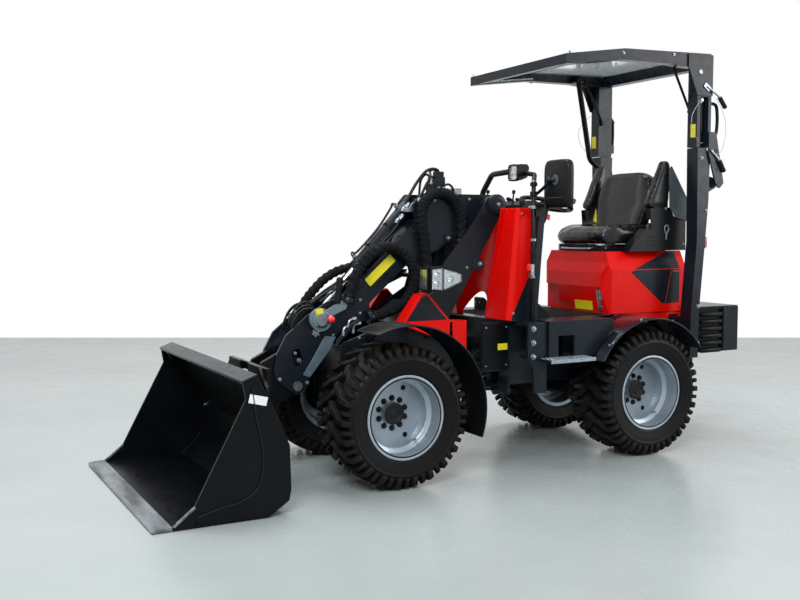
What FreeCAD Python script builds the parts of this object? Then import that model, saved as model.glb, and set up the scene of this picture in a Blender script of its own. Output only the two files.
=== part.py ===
import FreeCAD, Part
import math
import os

from FreeCAD import Vector as V

# Compact articulated wheel loader with a lifting arm, a bucket and a folding
# roll-over frame.  Millimetres; +X forward, +Y left, +Z up, ground at Z = 0.
# Everything is drawn from the ground point below the front axle and moved to
# the middle of the machine's length when it is written.

# ---------------------------------------------------------------- driving sizes
wheelbase = 1450.0            # front axle to rear axle
front_reach = 1181.0          # front axle to the bucket's cutting edge
rear_overhang = 765.0         # rear axle to the back of the counterweight
running_gap = 0.3             # between faces that turn or slide on each other
seat_gap = 0.3                # between a soft or loose piece and what carries it

# wheels
tyre_radius = 330.0           # to the tips of the lugs
tyre_width = 300.0
lug_height = 26.0
lug_count = 16                # per side
lug_width = 44.0
lug_slant = 28.0              # degrees from the axle's direction
track_width = 780.0           # between the tyres' middles
rim_seat_radius = 180.0
rim_flange_radius = 194.0
rim_width = 272.0
rim_wall = 5.0
disc_inset = 142.0            # outer rim face to the wheel disc
disc_thickness = 10.0
bolt_circle = 140.0           # diameter
bolt_holes = 10
bolt_hole_radius = 11.0
hub_radius = 52.0
hub_motor_radius = 118.0
hub_flange = 14.0
hub_face_gap = 0.5
motor_length = 70.0
axle_low = 240.0

# articulation
pivot_x = -520.0              # behind the front axle
pivot_pin_radius = 25.0
lug_plate = 22.0
pivot_low = 345.0
pivot_high = 625.0
pivot_eye_radius = 58.0

# front frame and tower
tower_half_width = 170.0      # outer faces
tower_plate = 12.0
chassis_low = 300.0
chassis_high = 480.0
chassis_front = 150.0
boom_pivot = (-712.0, 1303.0)
boom_pin_radius = 20.0
tower_boss_radius = 52.0

# boom
boom_half_width = 80.0
boom_ear_plate = 14.0
head_plate = 14.0
boom_top = 1355.0             # upper edge of the boom's side plates, arm lowered
hitch_pin = (350.0, 440.0)
hitch_pin_radius = 15.0

# cylinders: (x, z) of the pins with the arm lowered
lift_foot = (-362.0, 575.0)
lift_eye = (-472.0, 1133.0)
lift_barrel_radius = 38.0
lift_rod_radius = 19.0
lift_eye_width = 60.0
tilt_foot = (-310.0, 1320.0)
tilt_eye = (372.0, 588.0)
tilt_barrel_radius = 34.0
tilt_rod_radius = 17.0
tilt_eye_width = 50.0
steer_foot = (-930.0, 140.0)  # (x, y)
steer_eye = (-560.0, 150.0)
steer_height = 425.0
steer_barrel_radius = 27.0
steer_rod_radius = 13.0
steer_eye_width = 34.0
cylinder_pin_radius = 12.0
pin_stub_radius = 18.0        # pin bosses beside a rod's eye

# hoses in textile sleeves on the boom's left side: (x, y, z) along each route
sleeve_radius = 26.0
cord_bend = 1000.0            # largest arc of a cord
upper_sleeve = [(-338, 122, 985), (-325, 122, 1100), (-298, 122, 1235), (-325, 122, 1335),
                (-415, 122, 1368), (-505, 122, 1330), (-540, 122, 1225), (-535, 122, 1130)]
lower_sleeve = [(95, 122, 850), (65, 122, 950), (-5, 122, 1050), (-110, 122, 1105),
                (-220, 122, 1060), (-275, 122, 950), (-240, 122, 840), (-140, 122, 775),
                (-30, 122, 755)]

# bucket
bucket_width = 1280.0
bucket_wall = 8.0
side_wall = 10.0
edge_depth = 81.0             # cutting edge, front to back
ground_clearance = 3.0
hitch_face = hitch_pin[0] + 230.0   # front of the quick hitch's plate
hitch_plate = 14.0
lip_x = front_reach - edge_depth

# rear frame
panel_half_width = 300.0
panel_thickness = 6.0
panel_low = 470.0
panel_high = 716.0
bulkhead_x = pivot_x - 185.0
rail_outer = 215.0
rail_thickness = 12.0
rail_low = steer_height - 45.0
rail_high = 700.0
deck_level = 725.0            # operator's floor
rear_axle_x = -wheelbase
tail_x = rear_axle_x - rear_overhang
step_front = pivot_x - 312.0
step_rear = rear_axle_x + 399.0
hood_front = rear_axle_x + 85.0
hood_half_width = 290.0

# operator station
cowl_top = 1283.0
cowl_rear = pivot_x - 350.0
cowl_half = 350.0
cowl_wall = 5.0
swing_low = 200.0             # room for the turning tower, at the floor
swing_high = 312.0            # and at the cowl's top
hood_top = 1058.0
steering_wheel_centre = (rear_axle_x + 298.0, 1314.0)
steering_wheel_tilt = -14.0
steering_ring_radius = 138.0
front_post_y = cowl_half + 35.0

# towing jaw
tow_pin_x = tail_x + 55.0
tow_pin_radius = 12.5
tow_low = 400.0
tow_plate = 15.0
tow_jaw = 40.0

# roll-over frame
post_outer = 440.0
post_front = rear_axle_x - 364.0
post_rear = rear_axle_x - 465.0
split_level = 1614.0
fold_pivot = (post_rear - 63.0, 1428.0)

row_shift = (front_reach + wheelbase + rear_overhang) / 2.0 - front_reach


# ---------------------------------------------------------------- small helpers
def save(node, *shapes):
    """Writes one node, moved to the middle of the machine's length."""
    solids = []
    for shape in shapes:
        solids.extend(shape.Solids)
    moved = Part.makeCompound(solids) if len(solids) > 1 else solids[0].copy()
    moved.translate(V(row_shift, 0, 0))
    moved.exportStep("parts/" + node + ".step")


def box(x, y, z):
    """Block from three (low, high) pairs."""
    size = (x[1] - x[0], y[1] - y[0], z[1] - z[0])
    return Part.makeBox(size[0], size[1], size[2], V(x[0], y[0], z[0]))


def outline_wire(points, radius=0.0):
    """Closed wire through 3-D points, with every corner rounded if asked."""
    if radius <= 0:
        return Part.makePolygon(points + [points[0]])
    count = len(points)
    edges = []
    starts, ends, middles = [], [], []
    for i in range(count):
        corner = points[i]
        back = points[i - 1] - corner
        ahead = points[(i + 1) % count] - corner
        turn = math.pi - back.getAngle(ahead)
        cut = min(radius * math.tan(turn / 2), 0.45 * back.Length, 0.45 * ahead.Length)
        back.normalize()
        ahead.normalize()
        start = corner + back * cut
        end = corner + ahead * cut
        actual = cut / math.tan(turn / 2)
        inward = (back + ahead).normalize()
        middle = corner + inward * (actual / math.cos(turn / 2) - actual)
        starts.append(start)
        ends.append(end)
        middles.append(middle)
    for i in range(count):
        edges.append(Part.Arc(starts[i], middles[i], ends[i]).toShape())
        after = starts[(i + 1) % count]
        if (after - ends[i]).Length > 1e-4:
            edges.append(Part.LineSegment(ends[i], after).toShape())
    return Part.Wire(edges)


def slab_xz(points, y_low, y_high, radius=0.0):
    """Outline of (x, z) points, thick along Y."""
    wire = outline_wire([V(x, y_low, z) for x, z in points], radius)
    return Part.Face(wire).extrude(V(0, y_high - y_low, 0))


def slab_xy(points, z_low, z_high, radius=0.0):
    """Outline of (x, y) points, thick along Z."""
    wire = outline_wire([V(x, y, z_low) for x, y in points], radius)
    return Part.Face(wire).extrude(V(0, 0, z_high - z_low))


def slab_yz(points, x_low, x_high, radius=0.0):
    """Outline of (y, z) points, thick along X."""
    wire = outline_wire([V(x_low, y, z) for y, z in points], radius)
    return Part.Face(wire).extrude(V(x_high - x_low, 0, 0))


def bar(start, end, radius):
    """Round bar between two points."""
    start, end = V(*start), V(*end)
    return Part.makeCylinder(radius, (end - start).Length, start, end - start)


def cross_pin(x, z, radius, y_low, y_high):
    """Round bar along Y."""
    return Part.makeCylinder(radius, y_high - y_low, V(x, y_low, z), V(0, 1, 0))


def fused(first, *others):
    shape = first.multiFuse(list(others)) if others else first
    return shape.removeSplitter()


def mirrored(shape):
    return shape.mirror(V(0, 0, 0), V(0, 1, 0))


def both_sides(shape):
    return Part.makeCompound([shape, mirrored(shape)])


def bent_path(points, bend):
    """Straight runs joined by tangent arcs, and the radii of those arcs."""
    places = [V(*p) for p in points]
    edges, radii = [], []
    start = places[0]
    for i in range(1, len(places) - 1):
        corner = places[i]
        back = (places[i - 1] - corner)
        ahead = (places[i + 1] - corner)
        turn = math.pi - back.getAngle(ahead)
        cut = min(bend * math.tan(turn / 2), 0.45 * back.Length, 0.45 * ahead.Length)
        back.normalize()
        ahead.normalize()
        arc_start = corner + back * cut
        arc_end = corner + ahead * cut
        actual = cut / math.tan(turn / 2)
        middle = corner + (back + ahead).normalize() * (actual / math.cos(turn / 2) - actual)
        edges.append(Part.LineSegment(start, arc_start).toShape())
        edges.append(Part.Arc(arc_start, middle, arc_end).toShape())
        radii.append(actual)
        start = arc_end
    edges.append(Part.LineSegment(start, places[-1]).toShape())
    return Part.Wire(edges), radii


def bent_tube(points, radius, bend):
    """Round tube along straight runs joined by tangent arcs."""
    path = bent_path(points, bend)[0]
    section = Part.Wire(Part.makeCircle(radius, V(*points[0]), V(*points[1]) - V(*points[0])))
    return path.makePipeShell([section], True, False)


# ---------------------------------------------------------------- wheels
def tyre():
    """Tyre about the Y axis, its middle at the origin."""
    carcass_radius = tyre_radius - lug_height
    half = tyre_width / 2
    bore = rim_seat_radius + running_gap
    foot = rim_width / 2 - rim_wall - running_gap
    sections = [(-foot, bore), (-foot, rim_flange_radius + 4), (-half, bore + 58),
                (-half + 8, carcass_radius - 28), (-half + 30, carcass_radius - 6),
                (0, carcass_radius)]
    wire_points = [V(0, y, r) for y, r in sections]
    wire_points += [V(0, -y, r) for y, r in reversed(sections[:-1])]
    carcass = Part.Face(Part.makePolygon(wire_points + [wire_points[0]]))
    carcass = carcass.revolve(V(0, 0, 0), V(0, 1, 0), 360)
    tip = [(-half, carcass_radius - 46), (-half, tyre_radius - 22), (-half + 24, tyre_radius),
           (half - 24, tyre_radius), (half, tyre_radius - 22), (half, carcass_radius - 46)]
    envelope = Part.Face(Part.makePolygon([V(0, y, r) for y, r in tip + [tip[0]]]))
    envelope = envelope.revolve(V(0, 0, 0), V(0, 1, 0), 360)
    blank = box((-lug_width / 2, lug_width / 2), (8, half + 60), (carcass_radius - 50, tyre_radius + 20))
    blank.rotate(V(0, 0, 0), V(0, 0, 1), lug_slant)
    left_lug = blank.common(envelope)
    right_lug = left_lug.mirror(V(0, 0, 0), V(0, 1, 0))
    lugs = []
    step = 360.0 / lug_count
    for i in range(lug_count):
        for lug, shift in ((left_lug, 0.0), (right_lug, 0.5)):
            copy = lug.copy()
            copy.rotate(V(0, 0, 0), V(0, 1, 0), (i + shift) * step)
            lugs.append(copy)
    return fused(carcass, *lugs)


def rim():
    """Welded disc wheel, outer side towards +Y."""
    half = rim_width / 2
    flange = rim_flange_radius
    seat = rim_seat_radius
    outer = [(-half, flange), (-half + rim_wall, flange), (-half + rim_wall, seat),
             (-40, seat), (-30, seat - 22), (50, seat - 22), (60, seat), (half - rim_wall, seat),
             (half - rim_wall, flange), (half, flange)]
    inner = [(half, seat - rim_wall), (60, seat - rim_wall), (50, seat - 22 - rim_wall),
             (-30, seat - 22 - rim_wall), (-40, seat - rim_wall), (-half, seat - rim_wall)]
    points = [V(0, y, r) for y, r in outer + inner]
    barrel = Part.Face(Part.makePolygon(points + [points[0]])).revolve(V(0, 0, 0), V(0, 1, 0), 360)
    disc_y = half - disc_inset
    disc = Part.makeCylinder(seat - 24, disc_thickness, V(0, disc_y - disc_thickness, 0), V(0, 1, 0))
    for i in range(bolt_holes):
        angle = 2 * math.pi * i / bolt_holes
        x, z = bolt_circle / 2 * math.sin(angle), bolt_circle / 2 * math.cos(angle)
        hole = Part.makeCylinder(bolt_hole_radius, 40, V(x, disc_y - 25, z), V(0, 1, 0))
        disc = disc.cut(hole)
    centre_hole = Part.makeCylinder(hub_radius + running_gap, 60, V(0, disc_y - 30, 0), V(0, 1, 0))
    return fused(barrel, disc).cut(centre_hole)


def hub():
    """Wheel hub with its flange and studs, turning with the wheel."""
    disc_y = rim_width / 2 - disc_inset
    flange = Part.makeCylinder(bolt_circle / 2 + 22, hub_flange,
                               V(0, disc_y - disc_thickness - hub_flange, 0), V(0, 1, 0))
    nose = Part.makeCylinder(hub_radius, 34, V(0, disc_y - disc_thickness, 0), V(0, 1, 0))
    return fused(flange, nose)


def make_wheels():
    tyre_shape, rim_shape, hub_shape = tyre(), rim(), hub()
    for end, x in (("front", 0.0), ("rear", rear_axle_x)):
        for side, sign in (("left", 1), ("right", -1)):
            for name, shape in (("tyre", tyre_shape), ("rim", fused(rim_shape, hub_shape))):
                placed = shape.copy() if sign > 0 else mirrored(shape)
                placed = placed.copy()
                placed.translate(V(x, sign * track_width / 2, tyre_radius))
                save(end + "_" + side + "_" + name, placed)


def axle(x, carrier_level):
    """Low cross beam under its carrier, with a bracket and a wheel motor at each side."""
    flange_face = track_width / 2 + rim_width / 2 - disc_inset - disc_thickness - hub_flange
    motor_start = flange_face - hub_face_gap - motor_length
    beam = box((x - 55, x + 55), (-motor_start, motor_start), (axle_low, chassis_low))
    bracket = box((x - 70, x + 70), (motor_start - 20, motor_start), (axle_low, tyre_radius + 80))
    motor = Part.makeCylinder(hub_motor_radius, motor_length,
                              V(x, motor_start, tyre_radius), V(0, 1, 0))
    shape = fused(beam, bracket, mirrored(bracket), motor, mirrored(motor))
    if carrier_level > chassis_low:
        pad = box((x - 40, x + 40), (rail_outer - 35, rail_outer), (chassis_low, carrier_level))
        shape = fused(shape, pad, mirrored(pad))
    return shape


# ---------------------------------------------------------------- cylinders
def ram(length, barrel_end, rod_start, barrel_radius, rod_radius, eye_radius, eye_width):
    """Barrel and rod along +X, their cross pins along Y at 0 and at the length."""
    hole = cylinder_pin_radius + running_gap
    foot = Part.makeCylinder(eye_radius, eye_width, V(0, -eye_width / 2, 0), V(0, 1, 0))
    neck = box((0, eye_radius + 10), (-eye_width / 2, eye_width / 2),
               (-0.7 * eye_radius, 0.7 * eye_radius))
    tube = Part.makeCylinder(barrel_radius, barrel_end - eye_radius - 6,
                             V(eye_radius + 6, 0, 0), V(1, 0, 0))
    gland = Part.makeCylinder(barrel_radius + 4, 26, V(barrel_end - 26, 0, 0), V(1, 0, 0))
    bore_start = eye_radius + 14
    bore = Part.makeCylinder(rod_radius + running_gap, barrel_end, V(bore_start, 0, 0), V(1, 0, 0))
    pin_hole = Part.makeCylinder(hole, eye_width + 2, V(0, -eye_width / 2 - 1, 0), V(0, 1, 0))
    barrel = fused(foot, neck, tube, gland).cut(bore).cut(pin_hole)
    rod = Part.makeCylinder(rod_radius, length - eye_radius * 0.8 - rod_start,
                            V(rod_start, 0, 0), V(1, 0, 0))
    eye = Part.makeCylinder(eye_radius, eye_width, V(length, -eye_width / 2, 0), V(0, 1, 0))
    eye_hole = pin_hole.copy()
    eye_hole.translate(V(length, 0, 0))
    return barrel, fused(rod, eye).cut(eye_hole)


def place_upright(shape, foot, eye):
    """Turns a ram drawn along +X into the X-Z plane, from foot to eye."""
    angle = math.degrees(math.atan2(eye[1] - foot[1], eye[0] - foot[0]))
    placed = shape.copy()
    placed.rotate(V(0, 0, 0), V(0, 1, 0), -angle)
    placed.translate(V(foot[0], 0, foot[1]))
    return placed


def place_level(shape, foot, eye, height):
    """Turns a ram into the X-Y plane, its cross pins upright."""
    angle = math.degrees(math.atan2(eye[1] - foot[1], eye[0] - foot[0]))
    placed = shape.copy()
    placed.rotate(V(0, 0, 0), V(1, 0, 0), 90)
    placed.rotate(V(0, 0, 0), V(0, 0, 1), angle)
    placed.translate(V(foot[0], foot[1], height))
    return placed


def distance(a, b):
    return math.hypot(b[0] - a[0], b[1] - a[1])


def make_rams():
    barrel, rod = ram(distance(lift_foot, lift_eye), 520, 52, lift_barrel_radius,
                      lift_rod_radius, 32, lift_eye_width)
    save("lift_barrel", place_upright(barrel, lift_foot, lift_eye))
    save("lift_rod", place_upright(rod, lift_foot, lift_eye))

    barrel, rod = ram(distance(tilt_foot, tilt_eye), 452, 170, tilt_barrel_radius,
                      tilt_rod_radius, 28, tilt_eye_width)
    piston_room = Part.makeCylinder(tilt_rod_radius + 8, 340, V(48, 0, 0), V(1, 0, 0))
    piston = Part.makeCylinder(tilt_rod_radius + 7, 20, V(60, 0, 0), V(1, 0, 0))
    save("tilt_barrel", place_upright(barrel.cut(piston_room), tilt_foot, tilt_eye))
    save("tilt_piston", place_upright(piston, tilt_foot, tilt_eye))
    save("tilt_rod", place_upright(rod, tilt_foot, tilt_eye))

    barrel, rod = ram(distance(steer_foot, steer_eye), 256, 125, steer_barrel_radius,
                      steer_rod_radius, 21, steer_eye_width)
    save("steering_barrel", place_level(barrel, steer_foot, steer_eye, steer_height))
    save("steering_rod", place_level(rod, steer_foot, steer_eye, steer_height))


# ---------------------------------------------------------------- front frame
def make_front_frame():
    inner = tower_half_width - tower_plate
    px, pz = boom_pivot
    tower_outline = [(px - 45, pz - 25), (px - 30, pz + 38), (px + 45, pz + 36), (px + 127, pz - 84),
                     (-406, 1010), (-365, 879), (-126, 731), (chassis_front, 640),
                     (chassis_front + 20, chassis_high), (chassis_front - 20, chassis_low),
                     (-430, chassis_low), (-465, 470), (-438, 740)]
    plate = slab_xz(tower_outline, inner, tower_half_width, 14)
    boss = cross_pin(px, pz, tower_boss_radius, inner, tower_half_width + 14)
    hole = cross_pin(px, pz, boom_pin_radius, inner - 5, tower_half_width + 30)
    side = fused(plate, boss).cut(hole)
    front_web = slab_xz([(-140, 722), (-290, 815), (-296, 805), (-146, 712)], -inner, inner)
    rear_web = slab_xz([(-491, 850), (-610, 1090), (-599, 1095), (-480, 855)], -inner, inner)
    pin_end = tower_half_width + 14 + 8
    shaft = cross_pin(px, pz, boom_pin_radius, -pin_end, pin_end)
    cap = cross_pin(px, pz, boom_pin_radius + 12, tower_half_width + 14, pin_end)
    save("tower", fused(side, mirrored(side), front_web, rear_web, shaft, cap, mirrored(cap)))

    floor = box((-418, chassis_front - 16), (-inner, inner), (chassis_low, chassis_low + 14))
    nose = box((chassis_front - 30, chassis_front - 16), (-inner, inner), (chassis_low, 620))
    foot_tabs = [slab_xz([(-420, 520), (lift_foot[0] + 24, 520), (lift_foot[0] + 24, 600),
                          (-420, 600)], y, y + 12, 10) for y in (-50, 38)]
    back = box((-432, -418), (-inner, inner), (chassis_low, 600))
    foot_pin = cross_pin(lift_foot[0], lift_foot[1], cylinder_pin_radius, -50, 50)
    gap = running_gap
    knuckle = Part.makeCylinder(46, pivot_high - pivot_low - lug_plate - 2 * gap,
                                V(pivot_x, 0, pivot_low + lug_plate + gap))
    arm = box((pivot_x, -432), (-32, 32), (pivot_low + 60, pivot_high - 40))
    shaft = Part.makeCylinder(pivot_pin_radius, pivot_high - pivot_low + lug_plate + 2 * gap + 20,
                              V(pivot_x, 0, pivot_low - gap - 10))
    head = Part.makeCylinder(pivot_pin_radius + 12, 10, V(pivot_x, 0, pivot_low - gap - 10))
    cap = Part.makeCylinder(pivot_pin_radius + 12, 10, V(pivot_x, 0, pivot_high + lug_plate + gap))
    save("articulation_knuckle", fused(knuckle, arm, shaft, head, cap))

    ear_x, ear_y = steer_eye
    ear = slab_xy([(-432, 60), (-432, inner - 1), (-475, inner - 1), (ear_x - 26, ear_y + 24),
                   (ear_x - 26, ear_y - 24)], steer_height + 24, steer_height + 36, 12)
    lower_ear = ear.copy()
    lower_ear.translate(V(0, 0, -60))
    stub = Part.makeCylinder(pin_stub_radius - 4, 24 - steer_eye_width / 2 - 1,
                             V(ear_x, ear_y, steer_height + steer_eye_width / 2 + 1))
    lower_stub = stub.mirror(V(0, 0, steer_height), V(0, 0, 1))
    save("front_chassis", fused(floor, nose, back, foot_pin, ear, lower_ear, stub, lower_stub,
                                *foot_tabs))
    save("front_axle", axle(0.0, chassis_low))

    wheel_arch = (-10.0, 345.0, 400.0)
    stay = slab_yz([(tower_half_width, 630), (tower_half_width, 665), (345, 746), (345, 712)], 20, 32)
    fender(wheel_arch, 66, 200, "front_fenders", 335, 552, stay)
    cover_face = tower_half_width + 80
    cover_outline = [(-122, 717), (-230, 862), (-266, 870), (-396, 728), (-388, 622), (-148, 711)]
    core_outline = [(-134, 718), (-232, 853), (-262, 861), (-388, 724), (-381, 633), (-150, 718)]
    cover = slab_xz(cover_outline, tower_half_width + seat_gap, cover_face)
    cover = cover.cut(slab_xz(core_outline, tower_half_width, cover_face - 5))
    strip = slab_xz([(-407, 728), (-490, 728), (-490, 559), (-412, 640)], cover_face - 5, cover_face)
    lid = box((-490, -380), (tower_half_width + seat_gap, cover_face), (723, 728))
    save("front_covers", both_sides(fused(cover, strip, lid)))
    lamp = slab_xz([(-225, 995), (-225, 890), (-300, 880), (-405, 925), (-405, 965), (-300, 1000)],
                   262, 345, 8)
    bracket = box((-430, -388), (tower_half_width, 262), (925, 945))
    foot = box((-430, -380), (262, 270), (925, 965))
    save("headlights", both_sides(fused(lamp, bracket, foot)))


def fender(arch, start, end, node, inner_y, outer_y, stay, thickness=5.0):
    """Curved mudguard over a wheel, between two angles of a circle, on both sides."""
    x, z, radius = arch
    ring = cross_pin(x, z, radius + thickness, inner_y, outer_y)
    ring = ring.cut(cross_pin(x, z, radius, inner_y - 1, outer_y + 1))
    far = 3 * radius
    rays = [start + (end - start) * i / 3 for i in range(4)]
    points = [(x, z)]
    points += [(x + far * math.cos(math.radians(a)), z + far * math.sin(math.radians(a)))
               for a in rays]
    sector = slab_xz(points, inner_y - 1, outer_y + 1)
    save(node, both_sides(fused(ring.common(sector), stay)))


# ---------------------------------------------------------------- boom and bucket
def cord(node, points, radius):
    """Plain tube along straight runs joined by the largest arcs they allow."""
    tube = bent_tube(points, radius, cord_bend)
    save(node, tube)
    path, radii = bent_path(points, cord_bend)
    swept = math.pi * radius ** 2 * path.Length
    print(node, "length", round(path.Length, 1), "mm, arc radii", [round(arc, 1) for arc in radii],
          "volume against section times length", round(tube.Volume / swept, 4))


def gland(points, radius):
    """Collar behind a cord's first point, in line with its first run."""
    start, after = V(*points[0]), V(*points[1])
    away = (start - after).normalize()
    return Part.makeCylinder(radius + 5, 26, start, away)


def make_boom():
    px, pz = boom_pivot
    half = boom_half_width
    outer = half + boom_ear_plate
    beam = slab_xz([(-330, 1229), (110, 843), (142, 661), (-380, 1121)], -half, half)
    ram_trough = slab_xz([(-240, 1150), (-57, 918), (45, 848), (70, 960), (-150, 1180)], -46, 46)
    rod_slot = slab_xz([(-60, 950), (160, 688), (200, 700), (200, 900), (-60, 1050)], -27, 27)
    beam = beam.cut(ram_trough).cut(rod_slot)
    ear_outline = [(px - 45, pz - 25), (px - 25, boom_top), (-322, boom_top), (-272, 1300),
                   (-285, 1215), (-180, 1103), (-150, 1070), (-245, 990), (-380, 1060),
                   (-600, 1180)]
    ear = slab_xz(ear_outline, half, outer, 14)
    sleeve_end = tower_half_width - tower_plate - 2 * running_gap
    sleeve = cross_pin(px, pz, 42, half, sleeve_end)
    pivot_hole = cross_pin(px, pz, boom_pin_radius + running_gap, 0, 400)
    lift_stub = cross_pin(lift_eye[0], lift_eye[1], pin_stub_radius, lift_eye_width / 2 + 1, half)
    lift_cap = cross_pin(lift_eye[0], lift_eye[1], pin_stub_radius + 6, outer, outer + 8)
    clip_tab = slab_xz([(-375, 1070), (-305, 1040), (-305, 955), (-375, 955)], half, outer, 14)
    rear_tab = slab_xz([(-568, 1200), (-500, 1160), (-500, 1100), (-568, 1100)], half, outer, 14)
    side = fused(ear, sleeve, lift_stub, lift_cap).cut(pivot_hole)
    tilt_pin = cross_pin(tilt_foot[0], tilt_foot[1], cylinder_pin_radius, -half, half)
    tie_plate = box((px + 72, -360), (-half, half), (boom_top - 17, boom_top - 5))
    nose = slab_xz([(110, 843), (142, 661), (152, 661), (120, 843)], -half, half)
    nose = nose.cut(rod_slot)
    glands = [gland(points, sleeve_radius) for points in (upper_sleeve, upper_sleeve[::-1])]
    save("boom", fused(beam, side, mirrored(side), tilt_pin, tie_plate, nose, clip_tab, rear_tab,
                       *glands))
    cord("upper_hose_sleeve", upper_sleeve, sleeve_radius)
    cord("lower_hose_sleeve", lower_sleeve, sleeve_radius)

    valve = slab_xz([(-485, boom_top - 5), (-430, boom_top - 5), (-430, boom_top + 30),
                     (-485, boom_top + 30)], 36, 78, 4)
    second = valve.copy()
    second.translate(V(-78, 0, 0))
    save("boom_fittings", valve, second)

    hx, hz = hitch_pin
    cheek_outline = [(-20, 905), (200, 830), (300, 768), (404, 683), (452, 596), (467, 518),
                     (457, 479), (400, 430), (hx, hz - 42), (305, 425), (279, 494), (150, 666),
                     (-20, 825)]
    cheek = slab_xz(cheek_outline, half, half + head_plate, 12)
    pin_hole = cross_pin(hx, hz, hitch_pin_radius + running_gap, half - 5, half + 30)
    oval = slab_xz([(318, 540), (366, 530), (380, 610), (332, 622)], half - 5, half + 30, 24)
    cheek = cheek.cut(pin_hole).cut(oval)
    back = slab_xz([(152, 664), (279, 494), (290, 500), (164, 672)], -half, half)
    clip_tab = slab_xz([(-30, 850), (40, 800), (40, 725), (-30, 738)], half, half + head_plate, 10)
    glands = [gland(points, sleeve_radius) for points in (lower_sleeve, lower_sleeve[::-1])]
    save("boom_head", fused(cheek, mirrored(cheek), back, clip_tab, *glands))

    disc = cross_pin(247, 754, 54, outer + 26, outer + 52)
    bracket = cross_pin(247, 754, 20, outer, outer + 26)
    save("hose_coupler", fused(disc, bracket))


def make_hitch():
    hx, hz = hitch_pin
    end = boom_half_width + head_plate
    inner, outer = 54.0, boom_half_width - 1.0
    shaft = cross_pin(hx, hz, hitch_pin_radius, -end - 10, end + 10)
    head = cross_pin(hx, hz, hitch_pin_radius + 8, end + running_gap, end + 10)
    spacer = cross_pin(hx, hz, 45, -inner + running_gap, inner - running_gap)
    save("hitch_pin", fused(shaft, head, mirrored(head), spacer))

    back = hitch_face - hitch_plate
    ear_outline = [(hx, hz - 34), (hx - 32, hz), (hx - 10, hz + 60), (tilt_eye[0] - 30, tilt_eye[1]),
                   (tilt_eye[0], tilt_eye[1] + 30), (hx + 86, 602), (hx + 170, 560), (back, 300),
                   (back, 110), (back - 46, 110), (hx + 80, 360)]
    ear = slab_xz(ear_outline, inner, outer, 14)
    ear = ear.cut(cross_pin(hx, hz, hitch_pin_radius + running_gap, inner - 5, outer + 5))
    stub = cross_pin(tilt_eye[0], tilt_eye[1], pin_stub_radius, tilt_eye_width / 2 + 1, inner)
    ear = fused(ear, stub)
    plate = slab_yz([(-300, 120), (300, 120), (300, 470), (200, 560), (-200, 560), (-300, 470)],
                    back, hitch_face, 30)
    window = box((back - 6, hitch_face + 10), (-inner, inner), (330, 700))
    top_bar = box((back - 21, back), (-260, 260), (520, 556))
    save("quick_hitch", fused(ear, mirrored(ear), plate.cut(window), top_bar.cut(window)))


def make_bucket():
    half = bucket_width / 2
    t = bucket_wall
    x = hitch_face
    low = ground_clearance
    back_outline = [(lip_x, low), (x + 120, low), (x + 32, 60), (x + 22, 110), (x + 27, 293),
                    (x + 70, 401), (x + 164, 590), (x + 226, 567)]
    side_outline = back_outline + [(x + 214, 496), (lip_x - 89, 85), (lip_x, low + 16)]
    side = slab_xz(side_outline, half - side_wall, half)
    bowl_outline = back_outline + [(x + 223, 567 - t), (x + 164 + t, 590 - t - 4),
                                   (x + 70 + t, 399), (x + 27 + t, 291), (x + 22 + t, 112),
                                   (x + 34 + t, 66), (x + 123, low + t), (lip_x, low + t)]
    bowl = slab_xz(bowl_outline, -half + side_wall, half - side_wall)
    rib_outline = [(x, 130), (x, 470), (x + 102, 457), (x + 72, 401), (x + 30, 293), (x + 25, 130)]
    ribs = [slab_xz(rib_outline, y, y + 14) for y in (120, 250)]
    ribs += [mirrored(rib) for rib in ribs]
    save("bucket", fused(bowl, side, mirrored(side), *ribs))
    edge_outline = [(lip_x, low), (front_reach - 14, low), (front_reach, low + 3),
                    (front_reach - 8, low + 12), (lip_x, low + 16)]
    save("cutting_edge", slab_xz(edge_outline, -half, half))


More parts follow.
